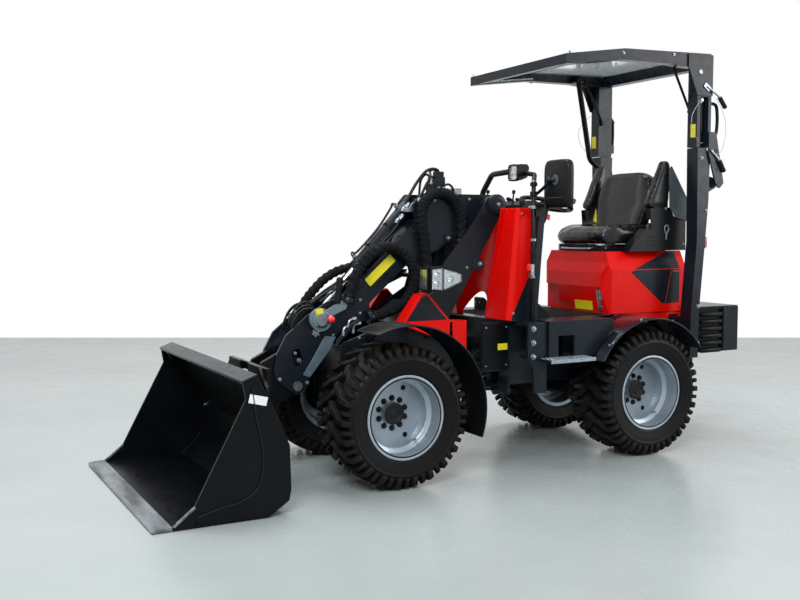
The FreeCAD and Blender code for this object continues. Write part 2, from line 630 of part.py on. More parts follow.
# ---------------------------------------------------------------- rear frame
def make_rear_frame():
    rail_end = tail_x + 185
    inner = rail_outer - rail_thickness
    panel = box((bulkhead_x, pivot_x - 26), (panel_half_width - panel_thickness, panel_half_width),
                (panel_low, panel_high))
    rail = box((rail_end, bulkhead_x), (inner, rail_outer), (rail_low, rail_high))
    bulkhead = box((bulkhead_x - 12, bulkhead_x), (-panel_half_width, panel_half_width),
                   (pivot_low, panel_high))
    steer_window = box((bulkhead_x - 20, bulkhead_x + 10), (80, inner),
                       (rail_low + 8, steer_height + 42))
    bulkhead = bulkhead.cut(steer_window)
    lug_outline = [(bulkhead_x, -150), (bulkhead_x, 150), (pivot_x - 10, pivot_eye_radius),
                   (pivot_x + 10, pivot_eye_radius), (pivot_x + 10, -pivot_eye_radius),
                   (pivot_x - 10, -pivot_eye_radius)]
    web = slab_xy(lug_outline, pivot_low, pivot_low + lug_plate)
    eye = Part.makeCylinder(pivot_eye_radius, lug_plate, V(pivot_x, 0, pivot_low))
    hole = Part.makeCylinder(pivot_pin_radius + running_gap, 60, V(pivot_x, 0, pivot_low - 20))
    low_lug = fused(web, eye).cut(hole)
    high_lug = low_lug.copy()
    high_lug.translate(V(0, 0, pivot_high - pivot_low))
    belly = box((rail_end, bulkhead_x - 12), (-inner, inner), (rail_low, rail_low + 8))
    tail_plate = box((rail_end - 12, rail_end), (-rail_outer, rail_outer), (rail_low, rail_high))
    save("rear_axle", axle(rear_axle_x, rail_low))

    fx, fy = steer_foot
    ear = box((fx - 24, fx + 20), (fy - 26, inner), (steer_height - 32, steer_height - 18))
    upper = ear.copy()
    upper.translate(V(0, 0, 50))
    pin = Part.makeCylinder(cylinder_pin_radius, 64, V(fx, fy, steer_height - 32))
    save("rear_chassis", fused(rail, mirrored(rail), bulkhead, panel, mirrored(panel), low_lug,
                               high_lug, belly, tail_plate, ear, upper, pin))

    deck_low = deck_level - 7
    wide_rear = rear_axle_x + 230
    floor_outline = [(pivot_x - 125, -190), (pivot_x - 172, -cowl_half), (step_front, -cowl_half),
                     (step_front, -470), (wide_rear, -470),
                     (wide_rear, -hood_half_width), (hood_front - 4, -hood_half_width)]
    floor_outline += [(x, -y) for x, y in reversed(floor_outline)]
    floor = slab_xy(floor_outline, deck_low, deck_level)
    foot_plate = slab_xz([(-692, deck_low), (-692, 743), (-763, 885), (-829, 1010), (-829, deck_low)],
                         cowl_half - cowl_wall - 8, cowl_half - cowl_wall - seat_gap)
    save("floor_plate", fused(floor, foot_plate, mirrored(foot_plate)))

    arch = (rear_axle_x, 335.0, 380.0)
    side = box((wide_rear - 20, step_front), (456, 470), (543, deck_low))
    side = side.cut(cross_pin(arch[0], arch[1], arch[2] + 11, 450, 480))
    side = side.cut(box((step_front - 157, step_front - 57), (450, 480), (540, 650)))
    tread = box((step_rear, step_front + 59), (panel_half_width, 560), (531, 543))
    tread = tread.cut(box((step_front - 8, step_front + 72), (430, 462), (520, 560)))
    tie = box((step_rear, step_rear + 12), (rail_outer, panel_half_width), (531, 660))
    save("steps", both_sides(fused(side, tread, tie)))

    lower_outline = [(step_front + 72, 370), (step_front + 2, 370), (step_front + 2, 700),
                     (step_front + 114, 700), (step_front + 114, 552), (step_front + 87, 500)]
    lower = slab_xz(lower_outline, 438, 454)
    foot = box((step_front + 2, step_front + 114), (rail_outer, 454), (700, deck_low))
    y_low, y_high = front_post_y - 15, front_post_y + 15
    post = slab_xz([(-761, deck_low), (-807, deck_low), (-829, 1000), (-856, 1308), (-822, 1308)],
                   y_low, y_high)
    save("front_posts", both_sides(fused(lower, foot, post)))

    stay = slab_yz([(rail_outer, 660), (rail_outer, 690), (310, 717), (310, 692)],
                   rear_axle_x - 6, rear_axle_x + 6)
    fender(arch, 28, 146.3, "rear_fenders", 300, 548, stay)

    weight = box((tail_x, tail_x + 290), (-380, 380), (495, 745))
    inner_room = box((rail_end - 12, tail_x + 315), (-rail_outer, rail_outer), (300, 700))
    weight = weight.cut(inner_room)
    weight = weight.cut(box((tail_x - 10, tow_pin_x + 45), (-60, 60), (400, 800)))
    for i in range(6):
        groove = box((tail_x + 120, tail_x + 295), (368, 390), (515 + 40 * i, 535 + 40 * i))
        weight = weight.cut(groove).cut(mirrored(groove))
    save("counterweight", weight)
    plate_x = rail_end - 12
    cheek = box((tow_pin_x - 35, plate_x), (-45, 45), (tow_low, tow_low + tow_plate))
    cheek = cheek.cut(Part.makeCylinder(tow_pin_radius, 60, V(tow_pin_x, 0, tow_low - 20)))
    upper_cheek = cheek.copy()
    upper_cheek.translate(V(0, 0, tow_jaw + tow_plate))
    back = box((plate_x - 10, plate_x), (-45, 45), (tow_low + tow_plate, tow_low + tow_plate + tow_jaw))
    save("tow_jaw", fused(cheek, upper_cheek, back))
    save("engine_block", box((rear_axle_x - 400, rear_axle_x - 50), (-170, 170), (rail_low + 8, 960)))


def tapered_shell(sections, wall):
    """Thin shell through level outlines: (height, [(x, y), ...]) from low to high."""
    wires = [outline_wire([V(x, y, z) for x, y in points]) for z, points in sections]
    outer = Part.makeLoft(wires, True, True)
    inner_wires = []
    for index, (z, points) in enumerate(sections):
        centre_x = sum(p[0] for p in points) / len(points)
        level = z - (wall if index == len(sections) - 1 else 0)
        shrunk = [(x + wall * (1 if x < centre_x else -1), y + wall * (1 if y < 0 else -1))
                  for x, y in points]
        inner_wires.append(outline_wire([V(x, y, level) for x, y in shrunk]))
    inner = Part.makeLoft(inner_wires, True, True)
    return outer.cut(inner)


def make_cowl():
    def cowl_section(front, rear, half, corner):
        left = [(front, half - corner), (front - corner, half), (rear, half)]
        return [(front, corner - half)] + left + [(rear, -half), (front - corner, -half)]
    cowl = tapered_shell([(deck_level, cowl_section(pivot_x - 150, cowl_rear + 25, cowl_half, 22)),
                          (cowl_top, cowl_section(pivot_x - 200, cowl_rear, cowl_half, 15))],
                         cowl_wall)
    tall = cowl_top - deck_level
    room = Part.makeCone(swing_low, swing_high, tall, V(pivot_x, 0, deck_level))
    recess = Part.makeCone(swing_low + cowl_wall, swing_high + cowl_wall, tall,
                           V(pivot_x, 0, deck_level))
    envelope = box((cowl_rear, -600), (-cowl_half, cowl_half), (deck_level, cowl_top))
    skin = recess.cut(room).common(envelope)
    skin = skin.cut(box((pivot_x - 150, -400), (-cowl_half, cowl_half), (deck_level, cowl_top)))
    opening = box((cowl_rear - 10, cowl_rear + 32), (-330, 330), (deck_level - 10, 1170))
    lower_corner = slab_xz([(-692, 700), (-692, 743), (-763, 885), (cowl_rear + 25, 1049),
                            (cowl_rear - 40, 1049), (cowl_rear - 40, 700)], -400, 400)
    shell = fused(cowl.cut(room), skin).cut(opening)
    save("dash_cowl", shell.cut(lower_corner))


def make_hood():
    low = deck_level
    knee = (hood_half_width, 960)
    side_view = [(hood_front, low), (hood_front + 25, 867), (hood_front + 20, 944),
                 (hood_front, 1000), (hood_front - 7, hood_top), (rear_axle_x - 455, hood_top),
                 (rear_axle_x - 455, low)]
    front_view = [(-hood_half_width, low), (-knee[0], knee[1]), (-240, hood_top), (240, hood_top),
                  knee, (hood_half_width, low)]
    top_view = [(hood_front + 30, -230), (hood_front + 30, 230), (hood_front - 10, 291),
                (rear_axle_x - 456, 291), (rear_axle_x - 456, -291), (hood_front - 10, -291)]
    solid = slab_xz(side_view, -300, 300)
    solid = solid.common(slab_yz(front_view, rear_axle_x - 460, hood_front + 40))
    solid = solid.common(slab_xy(top_view, low, hood_top))
    room_view = [(-278, low - 1), (-278, 956), (-232, 1046), (232, 1046), (278, 956), (278, low - 1)]
    solid = solid.cut(slab_yz(room_view, rear_axle_x - 443, rear_axle_x - 40))
    solid = solid.cut(box((hood_front - 20, hood_front + 60), (-310, -140), (low - 1, 867)))
    solid = solid.cut(box((hood_front - 20, hood_front + 60), (-141, -20), (low - 1, 767)))
    skirt_low = 2 * tyre_radius + 8
    skirt = box((rear_axle_x - 440, rear_axle_x + 50), (274, 280), (skirt_low, low + 5))
    skirt = skirt.cut(box((rear_axle_x - 12, rear_axle_x + 12), (270, 284), (skirt_low - 1, 722)))
    skirt = skirt.cut(box((post_rear + 50, post_front + 24), (270, 284), (skirt_low - 1, 706)))
    save("seat_deck", fused(solid, skirt, mirrored(skirt)))


def make_controls():
    save("dash_panel", slab_xz([(cowl_rear + 34, cowl_top), (cowl_rear - 56, cowl_top),
                                (cowl_rear - 56, cowl_top + 40), (cowl_rear, cowl_top + 42),
                                (cowl_rear + 34, cowl_top + 18)], -110, 230, 6))
    cx, cz = steering_wheel_centre
    tilt = math.radians(steering_wheel_tilt)
    lean = V(math.sin(tilt), 0, math.cos(tilt))
    boss_low = V(cx, 0, cz) - lean * 17
    elbow = boss_low - lean * 95
    column = bent_tube([(cowl_rear + 2, 0, elbow.z), tuple(elbow), tuple(boss_low)], 20, 45)
    save("steering_column", column)
    wheel = Part.makeTorus(steering_ring_radius, 12, V(0, 0, 0), V(0, 0, 1))
    spokes = [box((-6, steering_ring_radius), (-12, 12), (-5, 5)) for _ in range(3)]
    for index, spoke in enumerate(spokes):
        spoke.rotate(V(0, 0, 0), V(0, 0, 1), 60 + 120 * index)
    boss = Part.makeCylinder(34, 34, V(0, 0, -17))
    steering = fused(wheel, boss, *spokes)
    steering.rotate(V(0, 0, 0), V(0, 1, 0), steering_wheel_tilt)
    steering.translate(V(cx, 0, cz))
    save("steering_wheel", steering)
    pedal = slab_xz([(-880, deck_level), (-968, deck_level), (-962, deck_level + 12), (-892, 800),
                     (-880, 796)], 215, 295, 3)
    save("pedals", both_sides(pedal))


def make_seat():
    rear = rear_axle_x - 240
    save("seat_base", box((rear, rear + 300), (-190, 190), (hood_top, hood_top + 32)))
    low = hood_top + 32 + seat_gap
    cushion = slab_xz([(rear, low), (-1375, low), (-1345, low + 60), (-1370, low + 110),
                       (-1500, low + 115), (rear, low + 95)], -232, 232, 20)
    save("seat_cushion", cushion)
    back = slab_xz([(-1640, 1191), (-1700, 1500), (-1730, 1520), (-1765, 1500), (-1700, 1185.2)],
                   -226, 226, 10)
    save("seat_backrest", back)
    box_top = hood_top + 122
    box_outline = [(-1740, hood_top), (-1480, hood_top), (-1520, 1110), (-1610, box_top),
                   (-1740, box_top)]
    save("console_box", both_sides(slab_xz(box_outline, 234, 300)))
    rest = slab_xz([(-1705, box_top + seat_gap), (-1640, box_top + seat_gap), (-1700, 1540),
                    (-1750, 1560)], 246, 296)
    save("armrests", both_sides(rest))


def make_mirror_and_lamps():
    stalk_x, stalk_y = -771.0, 412.0
    stalk = bar((stalk_x, stalk_y, deck_level), (stalk_x, stalk_y, 1409), 11)
    clamp = box((-825, stalk_x - 4), (front_post_y + 15, stalk_y + 18), (1240, 1300))
    housing = slab_xz([(-800, 1421), (-850, 1440), (-862, 1490), (-850, 1507), (-800, 1507)],
                      166, 247, 10)
    neck = bent_tube([(-835, 240, 1462), (-835, 330, 1450), (stalk_x, stalk_y, 1400)], 12, 30)
    save("work_lamps", fused(stalk, clamp, housing, neck))

    face = slab_xz([(-812, 1300), (-812, 1494), (-832, 1514), (-850, 1494), (-850, 1300),
                    (-832, 1280)], 432, 628, 12)
    arm = bent_tube([(stalk_x - 19 - seat_gap, stalk_y, 1352), (-795, 470, 1385),
                     (-800, 500, 1412)], 8, 20)
    ball = Part.makeSphere(17, V(-806, 500, 1415))
    save("mirror", fused(face, arm, ball))
    save("lamp_bar", bent_tube([(-830, -140, cowl_top), (-830, -140, 1372), (-830, -46, 1468),
                                (-830, 140, 1476)], 15, 60))


# ---------------------------------------------------------------- roll-over frame
def make_rollover_frame():
    inner = post_outer - 80
    front, rear = post_front, post_rear
    px, pz = fold_pivot
    lower = slab_xz([(front + 16, 480), (front + 14, deck_level), (front - 18, 1110),
                     (front - 10, split_level), (rear, split_level), (rear + 5, 1330),
                     (rear + 23, 1110), (rear + 57, deck_level), (rear + 59, 480)],
                    inner, post_outer)
    ear = slab_xz([(rear + 10, 1370), (rear + 10, 1470), (px, pz + 26), (px - 26, pz), (px, pz - 26)],
                  inner + 20, post_outer - 20)
    hole = cross_pin(px, pz, cylinder_pin_radius + running_gap, 0, 600)
    bracket = box((rear + 60, front + 14), (rail_outer, inner), (620, 700))
    save("lower_posts", both_sides(fused(lower, ear, bracket).cut(hole)))

    beam_low = 2036.0
    upper = box((rear, front), (inner + 10, post_outer), (split_level + 3, beam_low))
    channel = box((rear + 20, front - 22), (inner + 28, post_outer + 1), (split_level, 1885))
    lap_outline = [(rear + 22, 1700), (rear - 30, 1700), (px - 30, pz), (px, pz - 30),
                   (px + 30, pz), (rear + 22, 1590)]
    lap = slab_xz(lap_outline, post_outer + 1, post_outer + 11, 8)
    tie = box((rear - 20, rear + 20), (inner + 10, post_outer + 11), (1640, 1690))
    pin = cross_pin(px, pz, cylinder_pin_radius, inner + 10, post_outer + 11)
    gusset = slab_xz([(front + 74, beam_low), (front + 7, 1890), (rear - 1, 1890), (rear - 1, 2108),
                      (front + 74, 2104)], post_outer, post_outer + 8, 6)
    save("upper_posts", both_sides(fused(upper.cut(channel), lap, tie, pin, gusset)))

    beam_outline = [(rear + 6, beam_low), (rear + 6, 2115), (-1310, 2095), (-939, 2040), (-939, 1990),
                    (-1310, 2038), (front + 182, 2042), (front + 110, beam_low)]
    beam = slab_xz(beam_outline, post_outer - 60, post_outer)
    side = post_outer - 60
    cross_front = slab_xz([(-939, 2040), (-939, 1992), (-999, 2001), (-999, 2048)], -side, side)
    cross_rear = box((rear + 6, rear + 66), (-side, side), (beam_low, 2102))
    save("roof_frame", fused(beam, mirrored(beam), cross_front, cross_rear))
    panel = slab_xz([(rear + 66 + seat_gap, 2100), (-1310, 2082), (-1000, 2036), (-1000, 2031),
                     (-1310, 2077), (rear + 66 + seat_gap, 2095)], -side + seat_gap, side - seat_gap)
    save("roof_panel", panel)

    strut_y = inner + 2
    strut = bar((front + 113, strut_y, 2060), (front - 22, strut_y, 1814), 7)
    top_eye = cross_pin(front + 113, 2060, 11, strut_y - 9, side)
    low_eye = cross_pin(front - 22, 1814, 11, strut_y - 9, inner + 10)
    brace = bent_tube([(-1628, -338, 2060), (-1722, -338, 1595), (-1818, -338, 1520)], 16, 60)
    brace = fused(brace, box((-1652, -1604), (-side, -316), (2044, 2078)))
    save("roof_struts", both_sides(fused(strut, top_eye, low_eye)), brace)


os.makedirs("parts", exist_ok=True)
make_wheels()
make_rams()
make_front_frame()
make_boom()
make_hitch()
make_bucket()
make_rear_frame()
make_cowl()
make_hood()
make_controls()
make_seat()
make_mirror_and_lamps()
make_rollover_frame()
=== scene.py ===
import math

import bmesh
import bpy
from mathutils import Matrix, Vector
from mathutils.noise import noise


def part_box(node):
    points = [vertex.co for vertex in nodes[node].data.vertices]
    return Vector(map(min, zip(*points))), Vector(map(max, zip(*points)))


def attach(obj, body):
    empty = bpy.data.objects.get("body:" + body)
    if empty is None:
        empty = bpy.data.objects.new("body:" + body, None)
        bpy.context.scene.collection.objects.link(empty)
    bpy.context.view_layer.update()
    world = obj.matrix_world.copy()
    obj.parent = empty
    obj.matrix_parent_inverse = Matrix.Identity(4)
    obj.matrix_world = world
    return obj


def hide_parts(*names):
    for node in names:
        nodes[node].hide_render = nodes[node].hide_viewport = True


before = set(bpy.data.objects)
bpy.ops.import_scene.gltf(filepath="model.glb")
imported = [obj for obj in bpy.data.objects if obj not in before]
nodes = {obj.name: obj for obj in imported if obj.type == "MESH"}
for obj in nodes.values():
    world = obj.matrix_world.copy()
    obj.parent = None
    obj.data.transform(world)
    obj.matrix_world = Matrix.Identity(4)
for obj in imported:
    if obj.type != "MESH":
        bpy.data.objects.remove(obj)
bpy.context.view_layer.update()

scene = bpy.context.scene
rim_low, rim_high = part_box("front_left_rim")
front_axle = (rim_low.x + rim_high.x) / 2


def P(x, y, z):
    """Row-frame point from millimetres measured from the ground below the front axle."""
    return Vector((front_axle + x / 1000, y / 1000, z / 1000))


# ---------------------------------------------------------------- camera, lights and floor
CAMERA_PLACE = (2.604, 4.369, 1.182)
CAMERA_YAW, CAMERA_PITCH = math.radians(-118.13), math.radians(-4.17)
FLOOR_AHEAD, FLOOR_REACH = 10.6, 12.0    # metres from the camera to the floor's far and other edges


def make_camera():
    data = bpy.data.cameras.new("camera")
    data.sensor_width = 36.0
    data.lens = 44.19
    camera = bpy.data.objects.new("camera", data)
    camera.location = CAMERA_PLACE
    look = Vector((math.cos(CAMERA_YAW) * math.cos(CAMERA_PITCH),
                   math.sin(CAMERA_YAW) * math.cos(CAMERA_PITCH), math.sin(CAMERA_PITCH)))
    camera.rotation_euler = look.to_track_quat("-Z", "Y").to_euler()
    scene.collection.objects.link(camera)
    scene.camera = camera


def area_light(name, place, target, size, watts):
    data = bpy.data.lights.new(name, "AREA")
    data.shape = "DISK"
    data.size = size
    data.energy = watts
    light = bpy.data.objects.new(name, data)
    light.location = place
    aim = Vector(target) - Vector(place)
    light.rotation_euler = aim.to_track_quat("-Z", "Y").to_euler()
    scene.collection.objects.link(light)


def make_world():
    """Soft grey light, which the camera, mirrors and clear sheets see as plain white."""
    world = bpy.data.worlds.new("studio")
    world.use_nodes = True
    tree = world.node_tree
    tree.nodes.clear()
    path = tree.nodes.new("ShaderNodeLightPath").outputs
    seen = node(tree, "Math", {0: path["Is Camera Ray"], 1: path["Is Glossy Ray"]}, operation="MAXIMUM")
    bright = node(tree, "Math", {0: seen.outputs[0], 1: path["Is Transmission Ray"]}, operation="MAXIMUM")
    ambient = node(tree, "Background", {"Color": (1, 1, 1, 1), "Strength": 0.4})
    backdrop = node(tree, "Background", {"Color": (1, 1, 1, 1)})
    mix = node(tree, "MixShader", {"Fac": bright.outputs[0], 1: ambient.outputs[0], 2: backdrop.outputs[0]})
    node(tree, "OutputWorld", {"Surface": mix.outputs[0]})
    scene.world = world
    scene.view_settings.view_transform = "Standard"


def make_floor():
    mesh = bpy.data.meshes.new("floor")
    ahead = Vector((math.cos(CAMERA_YAW), math.sin(CAMERA_YAW), 0))
    across = Vector((-math.sin(CAMERA_YAW), math.cos(CAMERA_YAW), 0))
    under = Vector((CAMERA_PLACE[0], CAMERA_PLACE[1], 0))
    reach = FLOOR_REACH
    edges = ((FLOOR_AHEAD, -reach), (FLOOR_AHEAD, reach), (-reach, reach), (-reach, -reach))
    corners = [under + ahead * run + across * width for run, width in edges]
    mesh.from_pydata(corners, [], [(0, 1, 2, 3)])
    floor = bpy.data.objects.new("floor", mesh)
    scene.collection.objects.link(floor)
    mesh.materials.append(finish("floor_concrete", (160, 170, 170), (170, 179, 179), grain=0.8,
                                 roughness=(0.24, 0.3), bump=(12, 0.01)))


def make_studio():
    area_light("key", (3.5, 4.5, 4.5), (0, 0, 0.8), 3.0, 330)
    area_light("fill", (-5.0, 4.0, 2.5), (0, 0, 0.8), 3.0, 120)
    area_light("top", (0, -1.0, 6.0), (0, 0, 0.5), 4.0, 260)
    make_world()
    make_floor()


# ---------------------------------------------------------------- materials
def linear(value):
    """Linear part of a colour from a screen value of 0 to 255."""
    value /= 255
    return value / 12.92 if value <= 0.04045 else ((value + 0.055) / 1.055) ** 2.4


def feed(tree, owner, inputs):
    """Gives each named input a value, or links it to another node's output."""
    for name, value in inputs.items():
        if isinstance(value, bpy.types.NodeSocket):
            tree.links.new(value, owner.inputs[name])
        else:
            owner.inputs[name].default_value = value


def node(tree, kind, inputs, **settings):
    made = tree.nodes.new("ShaderNode" + kind)
    for name, value in settings.items():
        setattr(made, name, value)
    feed(tree, made, inputs)
    return made


def blank_material(name):
    material = bpy.data.materials.new(name)
    material.use_nodes = True
    tree = material.node_tree
    return material, tree, tree.nodes["Principled BSDF"]


def noise_node(tree, vector, scale, detail=4.0):
    return node(tree, "TexNoise", {"Scale": scale, "Detail": detail, "Vector": vector}).outputs["Fac"]


def object_vector(tree, stretch=(1, 1, 1)):
    place = tree.nodes.new("ShaderNodeTexCoord").outputs["Object"]
    return node(tree, "Mapping", {"Scale": stretch, "Vector": place}).outputs["Vector"]


def ramp_node(tree, factor, low, high, start=0.35, end=0.65):
    ramp = node(tree, "ValToRGB", {"Fac": factor})
    for element, position, colour in zip(ramp.color_ramp.elements, (start, end), (low, high)):
        element.position = position
        element.color = [linear(value) for value in colour] + [1.0]
    return ramp.outputs["Color"]


def spread_node(tree, factor, low, high, start=0.3, end=0.7):
    return node(tree, "MapRange", {"From Min": start, "From Max": end, "To Min": low, "To Max": high,
                                   "Value": factor}).outputs["Result"]


def bump_node(tree, height, strength):
    return node(tree, "Bump", {"Strength": strength, "Distance": 0.001, "Height": height}).outputs["Normal"]


def finish(name, low, high, grain=6.0, roughness=(0.4, 0.5), metallic=0.0, coat=0.0,
           bump=(400, 0.1), cells=False, stretch=(1, 1, 1), transmission=0.0, specular=0.5):
    """Surface whose colour, gloss and relief wander with noise at their own scales.

    The colour goes from low to high, in screen values of 0 to 255.
    """
    material, tree, shader = blank_material(name)
    vector = object_vector(tree, stretch)
    clouds = noise_node(tree, vector, grain, 6.0)
    spots = noise_node(tree, vector, grain * 7)
    if cells:
        height = node(tree, "TexVoronoi", {"Scale": bump[0], "Vector": vector}).outputs["Distance"]
    else:
        height = noise_node(tree, vector, bump[0])
    feed(tree, shader, {"Metallic": metallic, "Coat Weight": coat, "Coat Roughness": 0.07,
                        "Transmission Weight": transmission, "Specular IOR Level": specular,
                        "Base Color": ramp_node(tree, clouds, low, high),
                        "Roughness": spread_node(tree, spots, *roughness),
                        "Normal": bump_node(tree, height, bump[1])})
    return material


def zinc_finish():
    """Bright zinc plating, with faint crystals that differ in tone."""
    material, tree, shader = blank_material("zinc")
    vector = object_vector(tree)
    crystals = node(tree, "TexVoronoi", {"Scale": 120.0, "Vector": vector}).outputs["Color"]
    tone = node(tree, "SeparateColor", {"Color": crystals}).outputs[0]
    feed(tree, shader, {"Metallic": 0.9,
                        "Base Color": ramp_node(tree, tone, (140, 151, 160), (164, 174, 182), 0.0, 1.0),
                        "Roughness": spread_node(tree, noise_node(tree, vector, 60), 0.24, 0.42),
                        "Normal": bump_node(tree, noise_node(tree, vector, 350), 0.08)})
    return material


def woven_finish():
    """Black woven nylon, its threads crossing on the slant, with a dull nap."""
    material, tree, shader = blank_material("woven_sleeve")
    vector = object_vector(tree)
    waves = []
    for turn in (0.8, -0.8):
        slant = node(tree, "Mapping", {"Rotation": (0.3, turn, 0.2), "Vector": vector}).outputs["Vector"]
        wave = node(tree, "TexWave", {"Scale": 160.0, "Distortion": 1.0, "Vector": slant})
        waves.append(wave.outputs["Fac"])
    weave = node(tree, "Math", {0: waves[0], 1: waves[1]}, operation="MULTIPLY").outputs[0]
    feed(tree, shader, {"Specular IOR Level": 0.15,
                        "Base Color": ramp_node(tree, weave, (6, 8, 11), (20, 25, 30), 0.1, 0.7),
                        "Roughness": spread_node(tree, noise_node(tree, vector, 25), 0.7, 0.9),
                        "Normal": bump_node(tree, weave, 0.5)})
    return material


def tread_finish():
    """Tyre rubber that turns slightly brown and dusty away from the sidewalls."""
    material, tree, shader = blank_material("tread_rubber")
    vector = object_vector(tree)
    clouds = noise_node(tree, vector, 9, 6)
    feed(tree, shader, {"Specular IOR Level": 0.16,
                        "Base Color": ramp_node(tree, clouds, (8, 8, 8), (22, 20, 19), 0.38, 0.72),
                        "Roughness": spread_node(tree, noise_node(tree, vector, 45), 0.5, 0.78),
                        "Normal": bump_node(tree, noise_node(tree, vector, 260), 0.25)})
    return material


RED = finish("red_gloss", (214, 13, 8), (220, 16, 10), 1.5, (0.2, 0.28), bump=(500, 0.01),
             specular=0.16)
DARK = finish("anthracite_paint", (16, 23, 30), (23, 31, 39), 4, (0.24, 0.34),
              bump=(700, 0.03), specular=0.2)
FENDER = finish("fender_gloss", (16, 22, 28), (22, 30, 37), 4, (0.12, 0.2), bump=(700, 0.02),
                specular=0.6)
BLACK = finish("black_paint", (5, 7, 10), (9, 12, 15), 5, (0.26, 0.38), bump=(700, 0.04),
               specular=0.14)
SILVER = finish("rim_silver", (138, 150, 160), (158, 170, 180), 6, (0.3, 0.42), metallic=0.55,
                bump=(800, 0.05))
RUBBER = finish("sidewall_rubber", (6, 6, 8), (11, 11, 13), 7, (0.4, 0.52), bump=(350, 0.1),
                specular=0.14)
TREAD = tread_finish()
ZINC = zinc_finish()
# satin zinc for the coupler housing and hooks; also used as the painted sheen strips on the boom head's plate
# edges
SATIN_AND_SHEEN = finish("satin_zinc_and_painted_sheen", (92, 108, 119), (112, 127, 137), 3, (0.4, 0.5), metallic=0.35,
               bump=(500, 0.03), specular=0.4)
CHROME = finish("chrome", (186, 190, 195), (206, 210, 214), 4, (0.1, 0.16), metallic=1.0,
                bump=(200, 0.01))
CAST = finish("cast_iron", (10, 12, 14), (18, 20, 23), 14, (0.45, 0.65), bump=(260, 0.35),
              specular=0.25)
VINYL = finish("seat_vinyl", (5, 7, 9), (9, 12, 15), 8, (0.24, 0.32), bump=(260, 0.03),
               specular=0.4)
PLASTIC = finish("black_plastic", (6, 8, 10), (11, 13, 16), 9, (0.34, 0.46), bump=(900, 0.1),
                 specular=0.2)
GREY_PLASTIC = finish("grey_plastic", (58, 68, 72), (72, 82, 86), 11, (0.5, 0.65), bump=(700, 0.2),
                      cells=True, specular=0.3)
GRIP = finish("grip_rubber", (8, 8, 10), (13, 14, 16), 16, (0.55, 0.75), bump=(500, 0.2), specular=0.2)
STEEL = finish("worn_steel", (84, 90, 94), (150, 157, 162), 18, (0.32, 0.6), metallic=0.8,
               bump=(200, 0.3), stretch=(1, 0.2, 1))
HOSE = finish("hose_rubber", (8, 10, 12), (13, 16, 19), 20, (0.34, 0.48), bump=(420, 0.12),
              specular=0.25)
YELLOW = finish("yellow_film", (214, 206, 20), (226, 219, 34), 10, (0.32, 0.42), bump=(500, 0.03))
WHITE = finish("white_film", (214, 220, 224), (230, 234, 236), 10, (0.35, 0.45), bump=(500, 0.03))
DECAL = finish("dark_film", (16, 22, 28), (22, 29, 36), 6, (0.22, 0.32), bump=(500, 0.03), specular=0.2)
SIGNAL_RED = finish("signal_red", (205, 30, 34), (222, 44, 46), 12, (0.18, 0.28), coat=0.6,
                    bump=(400, 0.03))
LENS = finish("clear_lens", (236, 240, 242), (246, 248, 250), 6, (0.02, 0.05), transmission=0.95,
              bump=(130, 0.12))
SHEET = finish("clear_roof_sheet", (226, 234, 238), (234, 240, 243), 2, (0.08, 0.14),
               transmission=0.85, bump=(20, 0.01))
REFLECTOR = finish("reflector", (205, 210, 214), (226, 229, 231), 30, (0.1, 0.2), metallic=1.0,
                   bump=(90, 0.5), cells=True)
GLASS = finish("mirror_glass", (190, 198, 204), (204, 211, 216), 4, (0.02, 0.04), metallic=1.0,
               bump=(40, 0.01))
WIRE = finish("bare_wire", (150, 152, 152), (184, 186, 186), 30, (0.35, 0.5), metallic=0.7,
              bump=(600, 0.2))
SLEEVE = woven_finish()

NODE_FINISH = {
    RED: ["seat_deck", "dash_cowl", "front_covers"],
    DARK: ["tower", "front_chassis", "boom", "boom_head", "rear_chassis", "floor_plate", "steps",
           "front_posts", "lower_posts", "upper_posts", "roof_frame", "lift_barrel",
           "tilt_barrel", "steering_barrel", "lamp_bar"],
    BLACK: ["bucket", "quick_hitch", "counterweight", "tow_jaw", "roof_struts", "seat_base", "pedals"],
    CAST: ["rear_axle", "front_axle", "engine_block", "articulation_knuckle"],
    CHROME: ["lift_rod", "tilt_rod", "tilt_piston", "steering_rod"],
    ZINC: ["hitch_pin", "boom_fittings"],
    SATIN_AND_SHEEN: ["hose_coupler"],
    STEEL: ["cutting_edge"],
    PLASTIC: ["front_fenders", "headlights", "dash_panel", "steering_column", "steering_wheel",
              "mirror", "work_lamps", "console_box"],
    FENDER: ["rear_fenders"],
    SHEET: ["roof_panel"],
    SILVER: ["front_left_rim", "front_right_rim", "rear_left_rim", "rear_right_rim"],
}
SMALL_EDGE = 0.0012


# ---------------------------------------------------------------- shapes in mesh code
ARM, FRONT, REAR, TOP, BUCKET = "arm", "front_frame", "rear_frame", "rollover_top", "bucket"
OUT, UP = (0, 1, 0), (0, 0, 1)           # away from the middle plane, and upwards


def turns(count):
    """Angles evenly spaced round a full turn."""
    return [2 * math.pi * i / count for i in range(count)]


def add_bevel(piece, width):
    bevel = piece.modifiers.new("edges", "BEVEL")
    bevel.width = width
    bevel.segments = 2
    bevel.limit_method = "ANGLE"
    bevel.angle_limit = math.radians(38)
    return bevel


